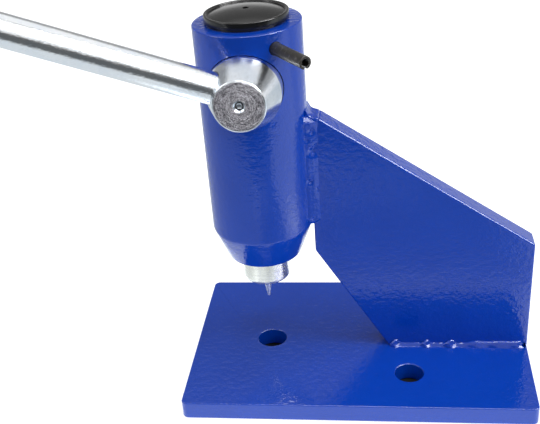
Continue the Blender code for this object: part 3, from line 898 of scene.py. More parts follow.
@dataclass
class PaintedFrame(Assembly):
    """The welded base, column and barrel."""

    body: str = "root"
    paint: Finish = PowderCoat()
    rolled_paint: Finish = PowderCoat(
        "blue_powder_coat_rolled", grain_stretch=(0.05, 1.0, 1.0), grain=0.035 * MM)
    turned_paint: Finish = PowderCoat(
        "blue_powder_coat_turned", grain_stretch=(0.06, 0.06, 1.0), grain=0.03 * MM)
    die_radius: float = 6.4 * MM
    bolt_radius: float = 6 * MM
    bolt_reach: float = 61 * MM
    bolt_spacing: float = 49 * MM
    corner_radius: float = 2.6 * MM
    plate_edge: float = 0.6 * MM
    column_edge: float = 0.75 * MM
    column_edge_limit: float = 25 * DEG
    column_foot: float = 52.5 * MM
    column_toe: float = 48.9 * MM
    column_tail: float = 51 * MM
    column_sunk: float = 0.05 * MM
    corner_cut: float = 3.8 * MM
    cone_height: float = 14.2 * MM
    nose_radius: float = 15.5 * MM
    nose_round: float = 0.9 * MM
    cone_round: float = 0.8 * MM
    rim_round: float = 0.55 * MM
    mouth_round: float = 0.4 * MM
    chamber_radius: float = 14 * MM
    guide_length: float = 25 * MM
    guide_radius: float = 10.2 * MM
    journal_bore: float = 14.4 * MM
    journal_depth: float = 11.3 * MM
    tail_bore: float = 6.2 * MM
    spot_radius: float = 9.2 * MM
    spot_depth: float = 0.6 * MM
    stop_bore: float = 2.6 * MM
    screw_bore: float = 3.2 * MM
    foot_rise: float = 4.3 * MM
    foot_reach: float = 2.6 * MM
    foot_longer: float = 2 * MM
    foot_start: float = 1.2 * MM
    foot_lumps: tuple[Lump, ...] = (
        Lump(0.035, 2.0 * MM, 0.42), Lump(0.275, 1.5 * MM, 0.36), Lump(0.455, 1.9 * MM, 0.42),
        Lump(0.64, 3.5 * MM, 0.24), Lump(0.8, 7.5 * MM, 0.3), Lump(0.96, 4.5 * MM, 0.24))
    upright_turn: float = 19.5 * DEG
    upright_width: float = 3.2 * MM
    upright_start: float = 0.3 * MM
    upright_lumps: tuple[Lump, ...] = (
        Lump(0.03, 1.6 * MM, 0.1), Lump(0.78, 2.4 * MM, 0.08), Lump(0.94, 2.4 * MM, 0.1))
    upright_pits: tuple[Pit, ...] = (
        Pit(0.055, 0.45, 0.9 * MM, 0.5 * MM), Pit(0.42, 0.3, 1.0 * MM, 0.7 * MM),
        Pit(0.34, 0.95, 0.9 * MM, 0.5 * MM), Pit(0.69, 0.6, 1.7 * MM, 0.9 * MM),
        Pit(0.73, 0.9, 1.2 * MM, 0.6 * MM), Pit(0.8, 0.2, 0.8 * MM, 0.4 * MM),
        Pit(0.87, 0.55, 1.0 * MM, 0.6 * MM))
    web_on_plate: tuple[Point, ...] = (
        (0.8 * MM, -3 * MM), (1.6 * MM, 0.6 * MM), (4.2 * MM, 3.0 * MM), (3.6 * MM, 4.2 * MM),
        (1.2 * MM, 4.6 * MM))
    web_on_barrel: tuple[Point, ...] = (
        (0.5 * MM, 5.8 * MM), (0.1 * MM, 7.8 * MM), (-0.9 * MM, 8 * MM), (-0.9 * MM, -3 * MM))
    web_overlap: float = 0.5 * MM
    web_lumps: float = 0.35 * MM
    web_lump_length: float = MM / 0.45

    def __post_init__(self) -> None:
        """Read the places of the plates, the barrel and what crosses it."""
        self.plate = Span.of("base_plate")
        self.column = Span.of("column_plate")
        self.barrel = Span.of("barrel")
        self.shaft = Span.of("tail_washer").middle
        self.axis_x = self.barrel.middle.x
        self.radius = self.barrel.size.x / 2
        self.half = self.column.size.y / 2

    def build(self) -> None:
        """Make every painted piece."""
        self.build_base()
        self.build_column()
        self.build_barrel()
        self.build_foot_beads()
        self.build_upright_beads()
        self.build_top_bead()

    def build_base(self) -> None:
        """Make the drilled base plate."""
        low, high = self.plate.low, self.plate.high
        half = Vector((self.plate.size.x / 2 - self.corner_radius,
                       self.plate.size.y / 2 - self.corner_radius))
        outline: list[Point] = []
        for number, (side_x, side_y) in enumerate([(1, 1), (-1, 1), (-1, -1), (1, -1)]):
            start = number * math.pi / 2
            corner = (self.plate.middle.x + side_x * half.x, side_y * half.y)
            outline += arc(corner, self.corner_radius, start, start + math.pi / 2, 8)
        base = piece("painted_base", prism(outline, low.z, high.z), Matrix())
        holes = [(self.die_radius, at(self.axis_x, 0, 0))]
        for side in (-1, 1):
            spot = at(self.axis_x + self.bolt_reach, side * self.bolt_spacing / 2, 0)
            holes.append((self.bolt_radius, spot))
        carve(base, [(rod(radius, low.z - PAST, high.z + PAST, 72), spot)
                     for radius, spot in holes])
        eased(base, self.plate_edge, 4)
        self.add(base, self.rolled_paint, "base_plate")

    def build_column(self) -> None:
        """Make the web, down to the base plate."""
        low, high = self.column.low, self.column.high
        foot = self.plate.high.z
        outline = [(high.x, foot - self.column_sunk), (high.x, foot + self.column_tail),
                   (low.x + self.corner_cut, high.z), (low.x, high.z - self.corner_cut),
                   (low.x, foot + self.column_toe),
                   (self.axis_x + self.column_foot, foot - self.column_sunk)]
        web = piece("painted_column", prism(outline, low.y, high.y), FRONT)
        eased(web, self.column_edge, 4, self.column_edge_limit)
        self.add(web, self.paint, "column_plate")

    def build_barrel(self) -> None:
        """Make the barrel with its cone, bores and rounded rim."""
        low, high, radius = self.barrel.low.z, self.barrel.high.z, self.radius
        guide_top = low + self.guide_length
        tube = lathe("painted_barrel", [
            (self.guide_radius, low), (self.nose_radius, low, self.nose_round),
            (radius, low + self.cone_height, self.cone_round), (radius, high, self.rim_round),
            (self.chamber_radius, high, self.mouth_round), (self.chamber_radius, guide_top),
            (self.guide_radius, guide_top)], at(self.axis_x, 0, 0), 144, closed=True)
        outside = 2 * radius
        shaft = at(self.axis_x, 0, self.shaft.z)
        spot = radius - self.spot_depth
        stepped = [(0, 0), (self.tail_bore, 0), (self.tail_bore, spot), (self.spot_radius, spot),
                   (self.spot_radius, outside), (0, outside)]
        pin = Span.of("stop_pin").middle
        aim = Vector((pin.x - self.axis_x, pin.y, 0)).normalized()
        screw = Span.of("ram_guide_screw").middle
        carve(tube, [
            (rod(self.journal_bore, -self.journal_depth, outside), shaft @ FRONT),
            (turned(stepped, 72), shaft @ BACK),
            (rod(self.stop_bore, 0, outside, 48), aimed(Vector((self.axis_x, 0, pin.z)), aim)),
            (rod(self.screw_bore, 0, outside, 48), at(self.axis_x, 0, screw.z) @ BACK)])
        creased(tube, 40 * DEG)
        self.add(tube, self.turned_paint, "barrel")

    def build_foot_beads(self) -> None:
        """Lay the fillets along the column's foot."""
        for side, word in ((-1, "front"), (1, "back")):
            span = Span.of(f"base_weld_{word}")
            bead = Bead((0, 0), (0, self.foot_rise), (self.foot_reach, 0),
                        span.size.x + self.foot_longer, self.foot_lumps, lean=0.34,
                        crown=0.8 * MM, seed=side * 4.0 + 9.0, bow=0.95 * MM, spread=0.2, skew=0.6)
            place = Matrix(((0, 0, 1, span.low.x - self.foot_start), (side, 0, 0, side * self.half),
                            (0, 1, 0, self.plate.high.z), (0, 0, 0, 1)))
            self.add(piece(f"foot_bead_{word}", bead.build(), place), self.paint,
                     f"base_weld_{word}")

    def build_upright_beads(self) -> None:
        """Lay the fillets between the barrel and the column."""
        root = (math.sqrt(self.radius ** 2 - self.half ** 2), self.half)
        on_barrel = (self.radius * math.cos(self.upright_turn),
                     self.radius * math.sin(self.upright_turn))
        on_plate = (self.column.low.x - self.axis_x + self.upright_width, self.half)
        for side, word, longer in ((-1, "front", 5 * MM), (1, "back", 1.5 * MM)):
            span = Span.of(f"barrel_weld_{word}")
            bead = Bead(root, on_barrel, on_plate, span.size.z + longer, self.upright_lumps,
                        lean=0.94, crown=0.12 * MM, seed=side * 7.0 + 21.0,
                        pits=self.upright_pits, grooves=0.07 * MM)
            place = Matrix(((1, 0, 0, self.axis_x), (0, side, 0, 0),
                            (0, 0, 1, span.low.z - self.upright_start), (0, 0, 0, 1)))
            self.add(piece(f"barrel_bead_{word}", bead.build(), place), self.paint,
                     f"barrel_weld_{word}")

    def build_top_bead(self) -> None:
        """Lay the web of weld that climbs the barrel from the column's upper corner."""
        foot = self.column.high.z - self.corner_cut
        left = self.column.low.x - self.axis_x
        outline = [(left + out, foot + up) for out, up in self.web_on_plate]
        outline += [(self.radius + out, foot + up) for out, up in self.web_on_barrel]
        reach = self.half + self.web_overlap
        bm = prism(outline[-1:] + outline[:-1], -reach, reach, 6)
        for vert in bm.verts:
            spot = vert.co / self.web_lump_length + Vector((2, 5, 1))
            vert.co += vert.normal * self.web_lumps * noise.noise(spot)
        made = piece("top_bead", bm, at(self.axis_x, 0, 0) @ FRONT)
        smooth = made.modifiers.new("smooth", "SUBSURF")
        smooth.levels = smooth.render_levels = 2
        applied(made)
        made.data.shade_smooth()
        self.add(made, self.paint, "barrel_weld_top")


def socket_screw(name: str, radius: float, length: float, matrix: Matrix,
                 dog_radius: float = 0.0, dog_length: float = 0.0) -> bpy.types.Object:
    """A socket set screw along +Z with its socket at the far end.

    Args:
        name: The object's name.
        radius: The thread's outer radius.
        length: Its whole length.
        matrix: Where it goes.
        dog_radius: Radius of a plain point at the near end.
        dog_length: Length of that point.

    Returns:
        The screw.
    """
    edge = radius / 6
    socket_radius, socket_depth, socket_spare = 0.58 * radius, 1.6 * MM, 2 * MM
    dog = [(dog_radius, 0), (dog_radius, dog_length)] if dog_length else []
    made = lathe(name, [(0, 0), *dog, (radius - edge, dog_length), (radius, dog_length + edge),
                        (radius, length - edge), (radius - edge, length), (0, length)], matrix, 48)
    carve(made, [(rod(socket_radius, length - socket_depth, length + socket_spare, 6),
                  matrix)])
    return made


@dataclass
class FrameFittings(Assembly):
    """The top plug, the stop pin and the guide screw, which sit in the barrel."""

    body: str = "root"
    plastic: Finish = BlackPlastic()
    dark: Finish = DarkMetal()
    soot: Finish = DarkMetal("sooty_steel", color=(0.055, 0.052, 0.048), roughness=0.36,
                             metallic=0.8)
    plug_gap: float = 0.05 * MM
    rim_width: float = 1.3 * MM
    rim_height: float = 3.5 * MM
    rim_lift: float = 0.7 * MM
    rim_draft: float = 0.2 * MM
    rim_rounds: tuple[float, ...] = (0.1 * MM, 0.25 * MM, 0.45 * MM, 0.25 * MM)
    neck_depth: float = 0.9 * MM
    groove_width: float = 0.5 * MM
    groove_depth: float = 0.7 * MM
    dome_lift: float = 1.1 * MM
    dome_steps: int = 16
    vent_radius: float = 1.2 * MM
    wall: float = 1.6 * MM
    spigot_radius: float = 13.8 * MM
    spigot_round: float = 0.2 * MM
    pin_radius: float = 2.4 * MM
    pin_bore: float = 1.5 * MM
    pin_slot: float = 1.1 * MM
    pin_root: float = 14.3 * MM
    pin_edge: float = 0.22 * MM
    screw_radius: float = 3.0 * MM
    dog_radius: float = 2.0 * MM
    dog_length: float = 2.9 * MM

    def build(self) -> None:
        """Make every fitting of the barrel."""
        self.build_plug()
        self.build_pin()
        self.build_screw()

    def build_plug(self) -> None:
        """Make the domed plug with its raised rim and vent."""
        plug, barrel = Span.of("top_plug"), Span.of("barrel")
        rim_radius = plug.size.x / 2
        seat = barrel.high.z + self.plug_gap
        under = seat + self.rim_lift
        rim_top = seat + self.rim_height
        rim_inner = rim_radius - self.rim_width
        dome_low = rim_top - self.groove_depth
        rise = rim_top + self.dome_lift - dome_low
        reach = rim_inner - self.groove_width - self.vent_radius
        shares = [step / self.dome_steps for step in range(self.dome_steps + 1)]
        dome = [(self.vent_radius + reach * share, dome_low + rise * (1 - share * share))
                for share in shares]
        neck = rim_radius - self.neck_depth
        inner = self.spigot_radius - self.wall
        inside = [(radius, height - self.wall) for radius, height in reversed(dome)
                  if radius < inner]
        groove, lip, edge, foot = self.rim_rounds
        made = lathe("domed_plug", [
            *dome, (rim_inner, dome_low, groove), (rim_inner + self.rim_draft, rim_top, lip),
            (rim_radius, rim_top, edge), (rim_radius, under, foot), (neck, under), (neck, seat),
            (self.spigot_radius, seat), (self.spigot_radius, plug.low.z, self.spigot_round),
            (inner, plug.low.z, self.spigot_round), *inside],
            at(plug.middle.x, plug.middle.y, 0), 128, 5, closed=True)
        self.add(made, self.plastic, "top_plug")

    def build_pin(self) -> None:
        """Make the slotted spring pin, its slot turned down."""
        pin, barrel = Span.of("stop_pin"), Span.of("barrel")
        center = Vector((barrel.middle.x, 0, pin.middle.z))
        along = Vector((pin.middle.x - center.x, pin.middle.y, 0)).normalized()
        reach = (Vector((pin.high.x, pin.low.y, center.z)) - center).dot(along)
        end = reach - self.pin_radius * 2 * abs(along.x * along.y)
        opening = self.pin_slot / self.pin_radius / 2
        section = arc((0, 0), self.pin_radius, opening, 2 * math.pi - opening, 40)
        section += arc((0, 0), self.pin_bore, 2 * math.pi - opening, opening, 40)
        made = piece("slotted_stop_pin", prism(section, self.pin_root, end),
                     aimed(center, along) @ Matrix.Rotation(-math.pi / 2, 4, "Z"))
        eased(made, self.pin_edge, 2, 60 * DEG)
        self.add(made, self.soot, "stop_pin")

    def build_screw(self) -> None:
        """Make the dog-point socket screw that keeps the ram from turning."""
        span = Span.of("ram_guide_screw")
        made = socket_screw("guide_screw", self.screw_radius, span.size.y,
                            at(span.middle.x, span.low.y, span.middle.z) @ BACK,
                            self.dog_radius, self.dog_length)
        self.add(made, self.dark, "ram_guide_screw")


@dataclass
class CrossShaft(Assembly):
    """The eccentric shaft across the barrel, with the lever and their fittings."""

    body: str = "lever"
    dark: Finish = DarkMetal()
    # the clamp screw's finish: partly its own black oxide, partly painted shade of the boss's hole,
    # near-black and unreflecting
    oxide_and_hole_shade: Finish = DarkMetal("black_oxide", color=(0.004, 0.004, 0.004),
                              worn=(0.012, 0.012, 0.012), roughness=0.7, metallic=0.0)
    brass: Finish = Brass()
    phenolic: Finish = BlackPlastic("polished_phenolic", roughness=0.12)
    journal_radius: float = 14.2 * MM
    journal_front: float = 22.4 * MM
    journal_back: float = 11 * MM
    journal_round: float = 0.5 * MM
    boss_front: float = 34.8 * MM
    face_radius: float = 9.8 * MM
    face_chamfer: float = 0.5 * MM
    face_depth: float = 0.25 * MM
    crank_throw: float = 7 * MM
    crank_phase: float = -38 * DEG
    crank_radius: float = 7 * MM
    web: float = 0.6 * MM
    tail_radius: float = 6 * MM
    tail_round: float = 0.8 * MM
    groove_depth: float = 0.5 * MM
    groove_width: float = 1 * MM
    groove_round: float = 0.15 * MM
    washer_round: float = 0.2 * MM
    ring_width: float = 2.4 * MM
    ring_opening: float = 3.4 * MM
    rod_root: float = 24.6 * MM
    rod_inset: float = 8.2 * MM
    rod_radius: float = 6 * MM
    rod_reach: float = 205 * MM
    rod_round: float = 0.8 * MM
    rod_hole: float = 30 * MM
    sink: float = 6 * MM
    screw_radius: float = 2.2 * MM
    screw_hole: float = 60 * MM
    mouth_chamfer: float = 0.15 * MM
    rise: float = 23.2 * DEG
    lean: float = 12 * DEG
    stud_radius: float = 4 * MM
    stud_length: float = 15 * MM
    stud_rounds: Point = (0.2 * MM, 0.7 * MM)
    knob_radius: float = 16 * MM
    knob_flat: float = 8 * MM
    knob_lip: float = 0.3 * MM
    insert_radius: float = 6 * MM
    insert_length: float = 17 * MM
    gap: float = 0.2 * MM
    seat: float = 0.3 * MM

    def __post_init__(self) -> None:
        """Work out the shaft's axis and the lever's direction."""
        self.washer = Span.of("tail_washer")
        self.axis = Vector((Span.of("barrel").middle.x, 0, self.washer.middle.z))
        self.front = Matrix.Translation(self.axis) @ FRONT
        self.back = Matrix.Translation(self.axis) @ BACK
        level = math.cos(self.lean)
        along = (-math.cos(self.rise) * level, -math.sin(self.lean), math.sin(self.rise) * level)
        self.along = Vector(along)
        self.lever = aimed(self.axis + Vector((0, -self.rod_root, 0)), self.along)

    def build(self) -> None:
        """Make the shaft, its fittings and the lever."""
        self.build_shaft()
        self.build_tail()
        self.build_clamp_screw()
        self.build_rod()
        self.build_knob()

    def build_shaft(self) -> None:
        """Make the boss and journal, the crank and the tail as one piece."""
        back, front = self.journal_back, self.journal_front
        shaft = lathe("eccentric_boss", [
            (0, back), (self.journal_radius, back, self.journal_round),
            (self.journal_radius, front, self.journal_round),
            (self.face_radius, self.boss_front, self.face_chamfer), (0, self.boss_front)],
            self.front, 160, 6)
        phase = self.crank_phase
        offset = Vector((-math.cos(phase), 0, math.sin(phase))) * self.crank_throw
        crank = rod(self.crank_radius, -back, back + self.web)
        groove = self.washer.high.y + self.seat
        groove_end = groove + self.groove_width + 2 * self.seat
        low_groove = self.tail_radius - self.groove_depth
        end = Span.of("eccentric_shaft").high.y
        tail = [(0, back - self.web), (self.tail_radius, back - self.web),
                (self.tail_radius, self.washer.low.y), (self.tail_radius, groove),
                (low_groove, groove), (low_groove, groove_end),
                (self.tail_radius, groove_end, self.groove_round),
                (self.tail_radius, end, self.tail_round), (0, end)]
        carve(shaft, [(crank, Matrix.Translation(offset) @ self.front),
                      (turned(softened(tail), 96), self.back)], "UNION")
        self.drill_shaft(shaft)
        creased(shaft, 32 * DEG)
        face = SawnFace(self.axis.y - self.boss_front + self.face_depth,
                        self.face_radius - self.face_chamfer, (self.axis.x, self.axis.z))
        zinc = ZincPlate("turned_zinc", color=(0.80, 0.83, 0.86), cloud=(0.62, 0.68, 0.76),
                         roughness=0.17, streak_stretch=(1.0, 0.08, 1.0), streak=0.03 * MM,
                         face=face)
        self.add(shaft, zinc, "eccentric_shaft")

    def drill_shaft(self, shaft: bpy.types.Object) -> None:
        """Cut the lever's hole and the clamp screw's hole, each with its mouth.

        Args:
            shaft: The shaft to cut.
        """
        bore = self.rod_radius + self.gap
        depth = math.sqrt(self.journal_radius ** 2 - bore ** 2)
        sink = [(0, depth - bore), (bore + self.sink, depth + self.sink), (0, depth + self.sink)]
        screw_bore = self.screw_radius + self.gap
        mouth = screw_bore + self.mouth_chamfer
        countersink = turned([(0, -mouth), (2 * mouth, mouth), (0, mouth)], 64)
        carve(shaft, [
            (rod(bore, -self.rod_inset - self.seat, self.rod_hole), self.lever),
            (turned(sink, 96), self.lever),
            (rod(screw_bore, self.rod_root, self.screw_hole, 64), self.front),
            (countersink, self.front @ at(0, 0, self.boss_front))])

    def build_tail(self) -> None:
        """Make the washer and the snap ring behind the barrel."""
        low, high = self.washer.low.y, self.washer.high.y
        outer = self.washer.size.x / 2
        inner = self.tail_radius + self.gap
        washer = lathe("shaft_washer", [
            (inner, low), (outer, low, self.washer_round), (outer, high, self.washer_round),
            (inner, high)], self.back, closed=True)
        self.add(washer, self.dark, "tail_washer")
        ring = Span.of("tail_snap_ring")
        inside = self.tail_radius - self.groove_depth + self.gap
        half = self.ring_opening / inside / 2
        outline = arc((0, 0), inside + self.ring_width, half, 2 * math.pi - half, 72)
        outline += arc((0, 0), inside, 2 * math.pi - half, half, 72)
        clip = piece("shaft_snap_ring", prism(outline, ring.low.y, ring.high.y), self.back)
        eased(clip, self.groove_round, 2, 60 * DEG)
        self.add(clip, self.dark, "tail_snap_ring")

    def build_clamp_screw(self) -> None:
        """Make the set screw in the boss's face."""
        span = Span.of("lever_clamp_screw")
        matrix = at(self.axis.x, span.high.y, self.axis.z) @ FRONT
        made = socket_screw("boss_clamp_screw", self.screw_radius, span.size.y, matrix)
        # painted shade: the near-black screw at the bottom of the hole stands in for the shade
        # inside it
        self.add(made, self.oxide_and_hole_shade, "lever_clamp_screw")

    def build_rod(self) -> None:
        """Make the lever rod with its stud."""
        turn = self.along.to_track_quat("Z", "Y").inverted().to_euler()
        zinc = ZincPlate("drawn_zinc", color=(0.93, 0.95, 0.97), cloud=(0.84, 0.89, 0.95),
                         roughness=0.05, streak_turn=tuple(turn), streak_stretch=(2.8, 2.8, 0.9),
                         streak=0.03 * MM, pocks=0.12 * MM)
        reach, end = self.rod_reach, self.rod_reach + self.stud_length
        made = lathe("lever_bar", [
            (0, -self.rod_inset), (self.rod_radius, -self.rod_inset, self.rod_round),
            (self.rod_radius, reach, self.rod_round),
            (self.stud_radius, reach, self.stud_rounds[0]),
            (self.stud_radius, end, self.stud_rounds[1]), (0, end)], self.lever)
        self.add(made, zinc, "lever_rod")

    def build_knob(self) -> None:
        """Make the ball knob and its threaded insert."""
        start = self.rod_reach + self.seat
        end = start + self.insert_length
        inner = self.stud_radius + self.gap
        insert = lathe("ball_insert", [
            (inner, start), (self.insert_radius, start), (self.insert_radius, end),
            (inner, end)], self.lever, 64, closed=True)
        self.add(insert, self.brass, "knob_insert")
        center = start + math.sqrt(self.knob_radius ** 2 - self.knob_flat ** 2)
        flat = math.asin(self.knob_flat / self.knob_radius)
        ball = arc((0, center), self.knob_radius, flat - math.pi / 2, math.pi / 2, 56)
        bore = self.insert_radius + self.gap
        knob = lathe("ball_knob", [
            (0, end + self.seat), (bore, end + self.seat), (bore, start),
            (self.knob_flat - self.knob_lip, start), *ball[1:-1],
            (0, center + self.knob_radius)], self.lever, 112)
        self.add(knob, self.phenolic, "lever_knob")


@dataclass
class RamLine(Assembly):
    """The ram, its punch and its return spring."""

    body: str = "ram"
    ground: Finish = ZincPlate("ground_zinc", color=(0.90, 0.89, 0.80), cloud=(0.78, 0.79, 0.74),
                               roughness=0.2, metallic=0.9, streak_stretch=(0.06, 0.06, 1.0))
    pointed: Finish = ZincPlate("ground_point", color=(0.70, 0.71, 0.72), roughness=0.26,
                                metallic=0.8, streak_stretch=(0.1, 0.1, 1.0))
    dark: Finish = DarkMetal()
    steel: Finish = ZincPlate("spring_steel", Slot.BRIGHT, (0.56, 0.57, 0.58),
                              (0.42, 0.44, 0.47), roughness=0.24, streak_stretch=(1, 1, 1))
    nose_round: float = 2.2 * MM
    top_round: float = 0.6 * MM
    groove_depth: float = 0.5 * MM
    keyway_depth: float = 2.7 * MM
    keyway_width: float = 4.4 * MM
    keyway_spare: float = 0.5 * MM
    up_travel: float = 10 * MM
    down_travel: float = 2.4 * MM
    shank_radius: float = 3 * MM
    taper_length: float = 6.3 * MM
    taper_radius: float = 1.28 * MM
    root_radius: float = 2.25 * MM
    root_height: float = 0.3 * MM
    tip_radius: float = 0.55 * MM
    point_rounds: tuple[float, ...] = (0.4 * MM, 2.0 * MM, 0.3 * MM, 0.1 * MM, 0.3 * MM)
    screw_radius: float = 2 * MM
    gap: float = 0.2 * MM
    seat: float = 0.3 * MM
    spring_wire: float = 1.1 * MM
    spring_turns: int = 6
    spring_steps: int = 40
    wire_sides: int = 14

    def __post_init__(self) -> None:
        """Read the ram's place."""
        self.span = Span.of("ram")
        self.radius = self.span.size.x / 2
        self.axis = self.span.middle.x

    def build(self) -> None:
        """Make the ram, the punch, its screw and the spring, and dress the rings."""
        self.build_ram()
        self.build_punch()
        screw = Span.of("punch_screw")
        made = socket_screw("point_screw", self.screw_radius, screw.size.y,
                            at(self.axis, screw.low.y, screw.middle.z) @ BACK)
        self.add(made, self.dark, "punch_screw")
        for node, finish in (("ram_snap_ring", self.dark), ("spring_washer", self.steel)):
            WARDROBE.put_on(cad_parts[node], finish)
            LOG.info("finish %s on %s", finish.name, node)
        self.build_spring()

    def build_spring(self) -> None:
        """Wind the return spring."""
        span = Span.of("return_spring")
        wire, turns, steps = self.spring_wire, self.spring_turns, self.spring_steps
        closed_pitch = 2 * wire
        open_pitch = (span.size.z - 2 * wire - 2 * closed_pitch) / (turns - 2)
        bm = bmesh.new()
        start = at(span.size.x / 2 - wire, 0, span.low.z + wire) @ FRONT
        section = bmesh.ops.create_circle(bm, segments=self.wire_sides, radius=wire, matrix=start)
        geometry = section["verts"] + bm.edges[:]
        for count, pitch in ((1, closed_pitch), (turns - 2, open_pitch), (1, closed_pitch)):
            geometry = bmesh.ops.spin(
                bm, geom=geometry, cent=(0, 0, 0), axis=(0, 0, 1), dvec=(0, 0, pitch / steps),
                angle=count * 2 * math.pi, steps=count * steps, use_merge=False)["geom_last"]
        bmesh.ops.remove_doubles(bm, verts=bm.verts[:], dist=HAIR)
        bmesh.ops.holes_fill(bm, edges=[edge for edge in bm.edges if edge.is_boundary], sides=0)
        bmesh.ops.recalc_face_normals(bm, faces=bm.faces[:])
        spring = piece("coil_spring", bm, at(self.axis, 0, 0))
        spring.data.shade_smooth()
        self.add(spring, self.steel, "return_spring")
        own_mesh(spring)

    def build_ram(self) -> None:
        """Make the round bar with its rounded nose, groove, keyway and bores."""
        low, high, radius = self.span.low.z, self.span.high.z, self.radius
        ring, punch = Span.of("ram_snap_ring"), Span.of("punch")
        neck = radius - self.groove_depth
        groove_low, groove_high = ring.low.z - self.seat, ring.high.z + self.seat
        ram = lathe("press_ram", [
            (0, low), (radius, low, self.nose_round), (radius, groove_low), (neck, groove_low),
            (neck, groove_high), (radius, groove_high), (radius, high, self.top_round), (0, high)],
            at(self.axis, 0, 0), 128, 10)
        screw = Span.of("ram_guide_screw").middle.z
        half = self.keyway_width / 2
        slot_low = screw - half - self.up_travel - self.keyway_spare
        slot_high = screw + half + self.down_travel + self.keyway_spare
        floor = radius - self.keyway_depth
        outline = [(-half, floor), (half, floor), (half, 2 * radius), (-half, 2 * radius)]
        socket = rod(self.shank_radius + self.gap, low - PAST, punch.high.z + self.seat, 72)
        point = Span.of("punch_screw").middle.z
        carve(ram, [
            (prism(outline, slot_low, slot_high), at(self.axis, 0, 0)),
            (socket, at(self.axis, 0, 0)),
            (rod(self.screw_radius + self.gap, 0, 2 * radius, 48), at(self.axis, 0, point) @ BACK)])
        creased(ram)
        self.add(ram, self.ground, "ram")

    def build_punch(self) -> None:
        """Make the slender point with its shank."""
        tip, nose, top = Span.of("punch").low.z, self.span.low.z, Span.of("punch").high.z
        spots = [(self.tip_radius, tip), (self.taper_radius, nose - self.taper_length),
                 (self.root_radius, nose), (self.shank_radius, nose + self.root_height),
                 (self.shank_radius, top)]
        corners = [(*spot, rounding) for spot, rounding in zip(spots, self.point_rounds)]
        made = lathe("press_point", [(0, tip), *corners, (0, top)], at(self.axis, 0, 0), 72, 6)
        self.add(made, self.pointed, "punch")


# ---------------------------------------------------------------- the studio


@dataclass(frozen=True)
class Lamp:
    """A rectangular soft box: its place, its sides, its power and what it faces."""

    name: str
    place: Place
    size: Point
    power: float
    target: Place = (0, 0, 0.1)

    def build(self) -> None:
        """Hang the lamp, hidden from reflections."""
        lamp = bpy.data.lights.new(self.name, "AREA")
        lamp.shape = "RECTANGLE"
        lamp.size, lamp.size_y = self.size
        lamp.energy = self.power
        made = bpy.data.objects.new(self.name, lamp)
        bpy.context.collection.objects.link(made)
        made.matrix_world = aimed(Vector(self.place), Vector(self.place) - Vector(self.target))
        made.visible_glossy = False


@dataclass(frozen=True)
class Glow:
    """A bright round patch of the room: its direction, angular radius and strength."""

    direction: Place
    width: float
    strength: float
    softness: float = 0.25

    def light(self, graph: Graph, sky: bpy.types.NodeSocket) -> Value:
        """The light that the patch adds.

        Args:
            graph: The world's nodes.
            sky: The direction of the ray.

        Returns:
            Its strength inside the patch, 0 outside.
        """
        dot = graph.node("ShaderNodeVectorMath", {"operation": "DOT_PRODUCT"}, {
            0: sky, 1: tuple(Vector(self.direction).normalized())})
        edge = math.cos(self.width)
        inside = Value(graph, dot.outputs["Value"]).above(edge, self.softness * (1 - edge))
        return self.strength * inside


@dataclass(frozen=True)
class Zone:
    """A patch of the floor. Each edge is its place and half its softness."""

    left: Edge | None = None
    right: Edge | None = None
    front: Edge | None = None
    back: Edge | None = None

    def mask(self, side: Value, depth: Value) -> Value:
        """Where the patch is.

        Args:
            side: The place along X.
            depth: The place along Y.

        Returns:
            1 inside the patch, 0 outside.
        """
        rising = ((side, self.left), (depth, self.front))
        falling = ((side, self.right), (depth, self.back))
        return math.prod([axis.above(*edge) for axis, edge in rising if edge]
                         + [1 - axis.above(*edge) for axis, edge in falling if edge])


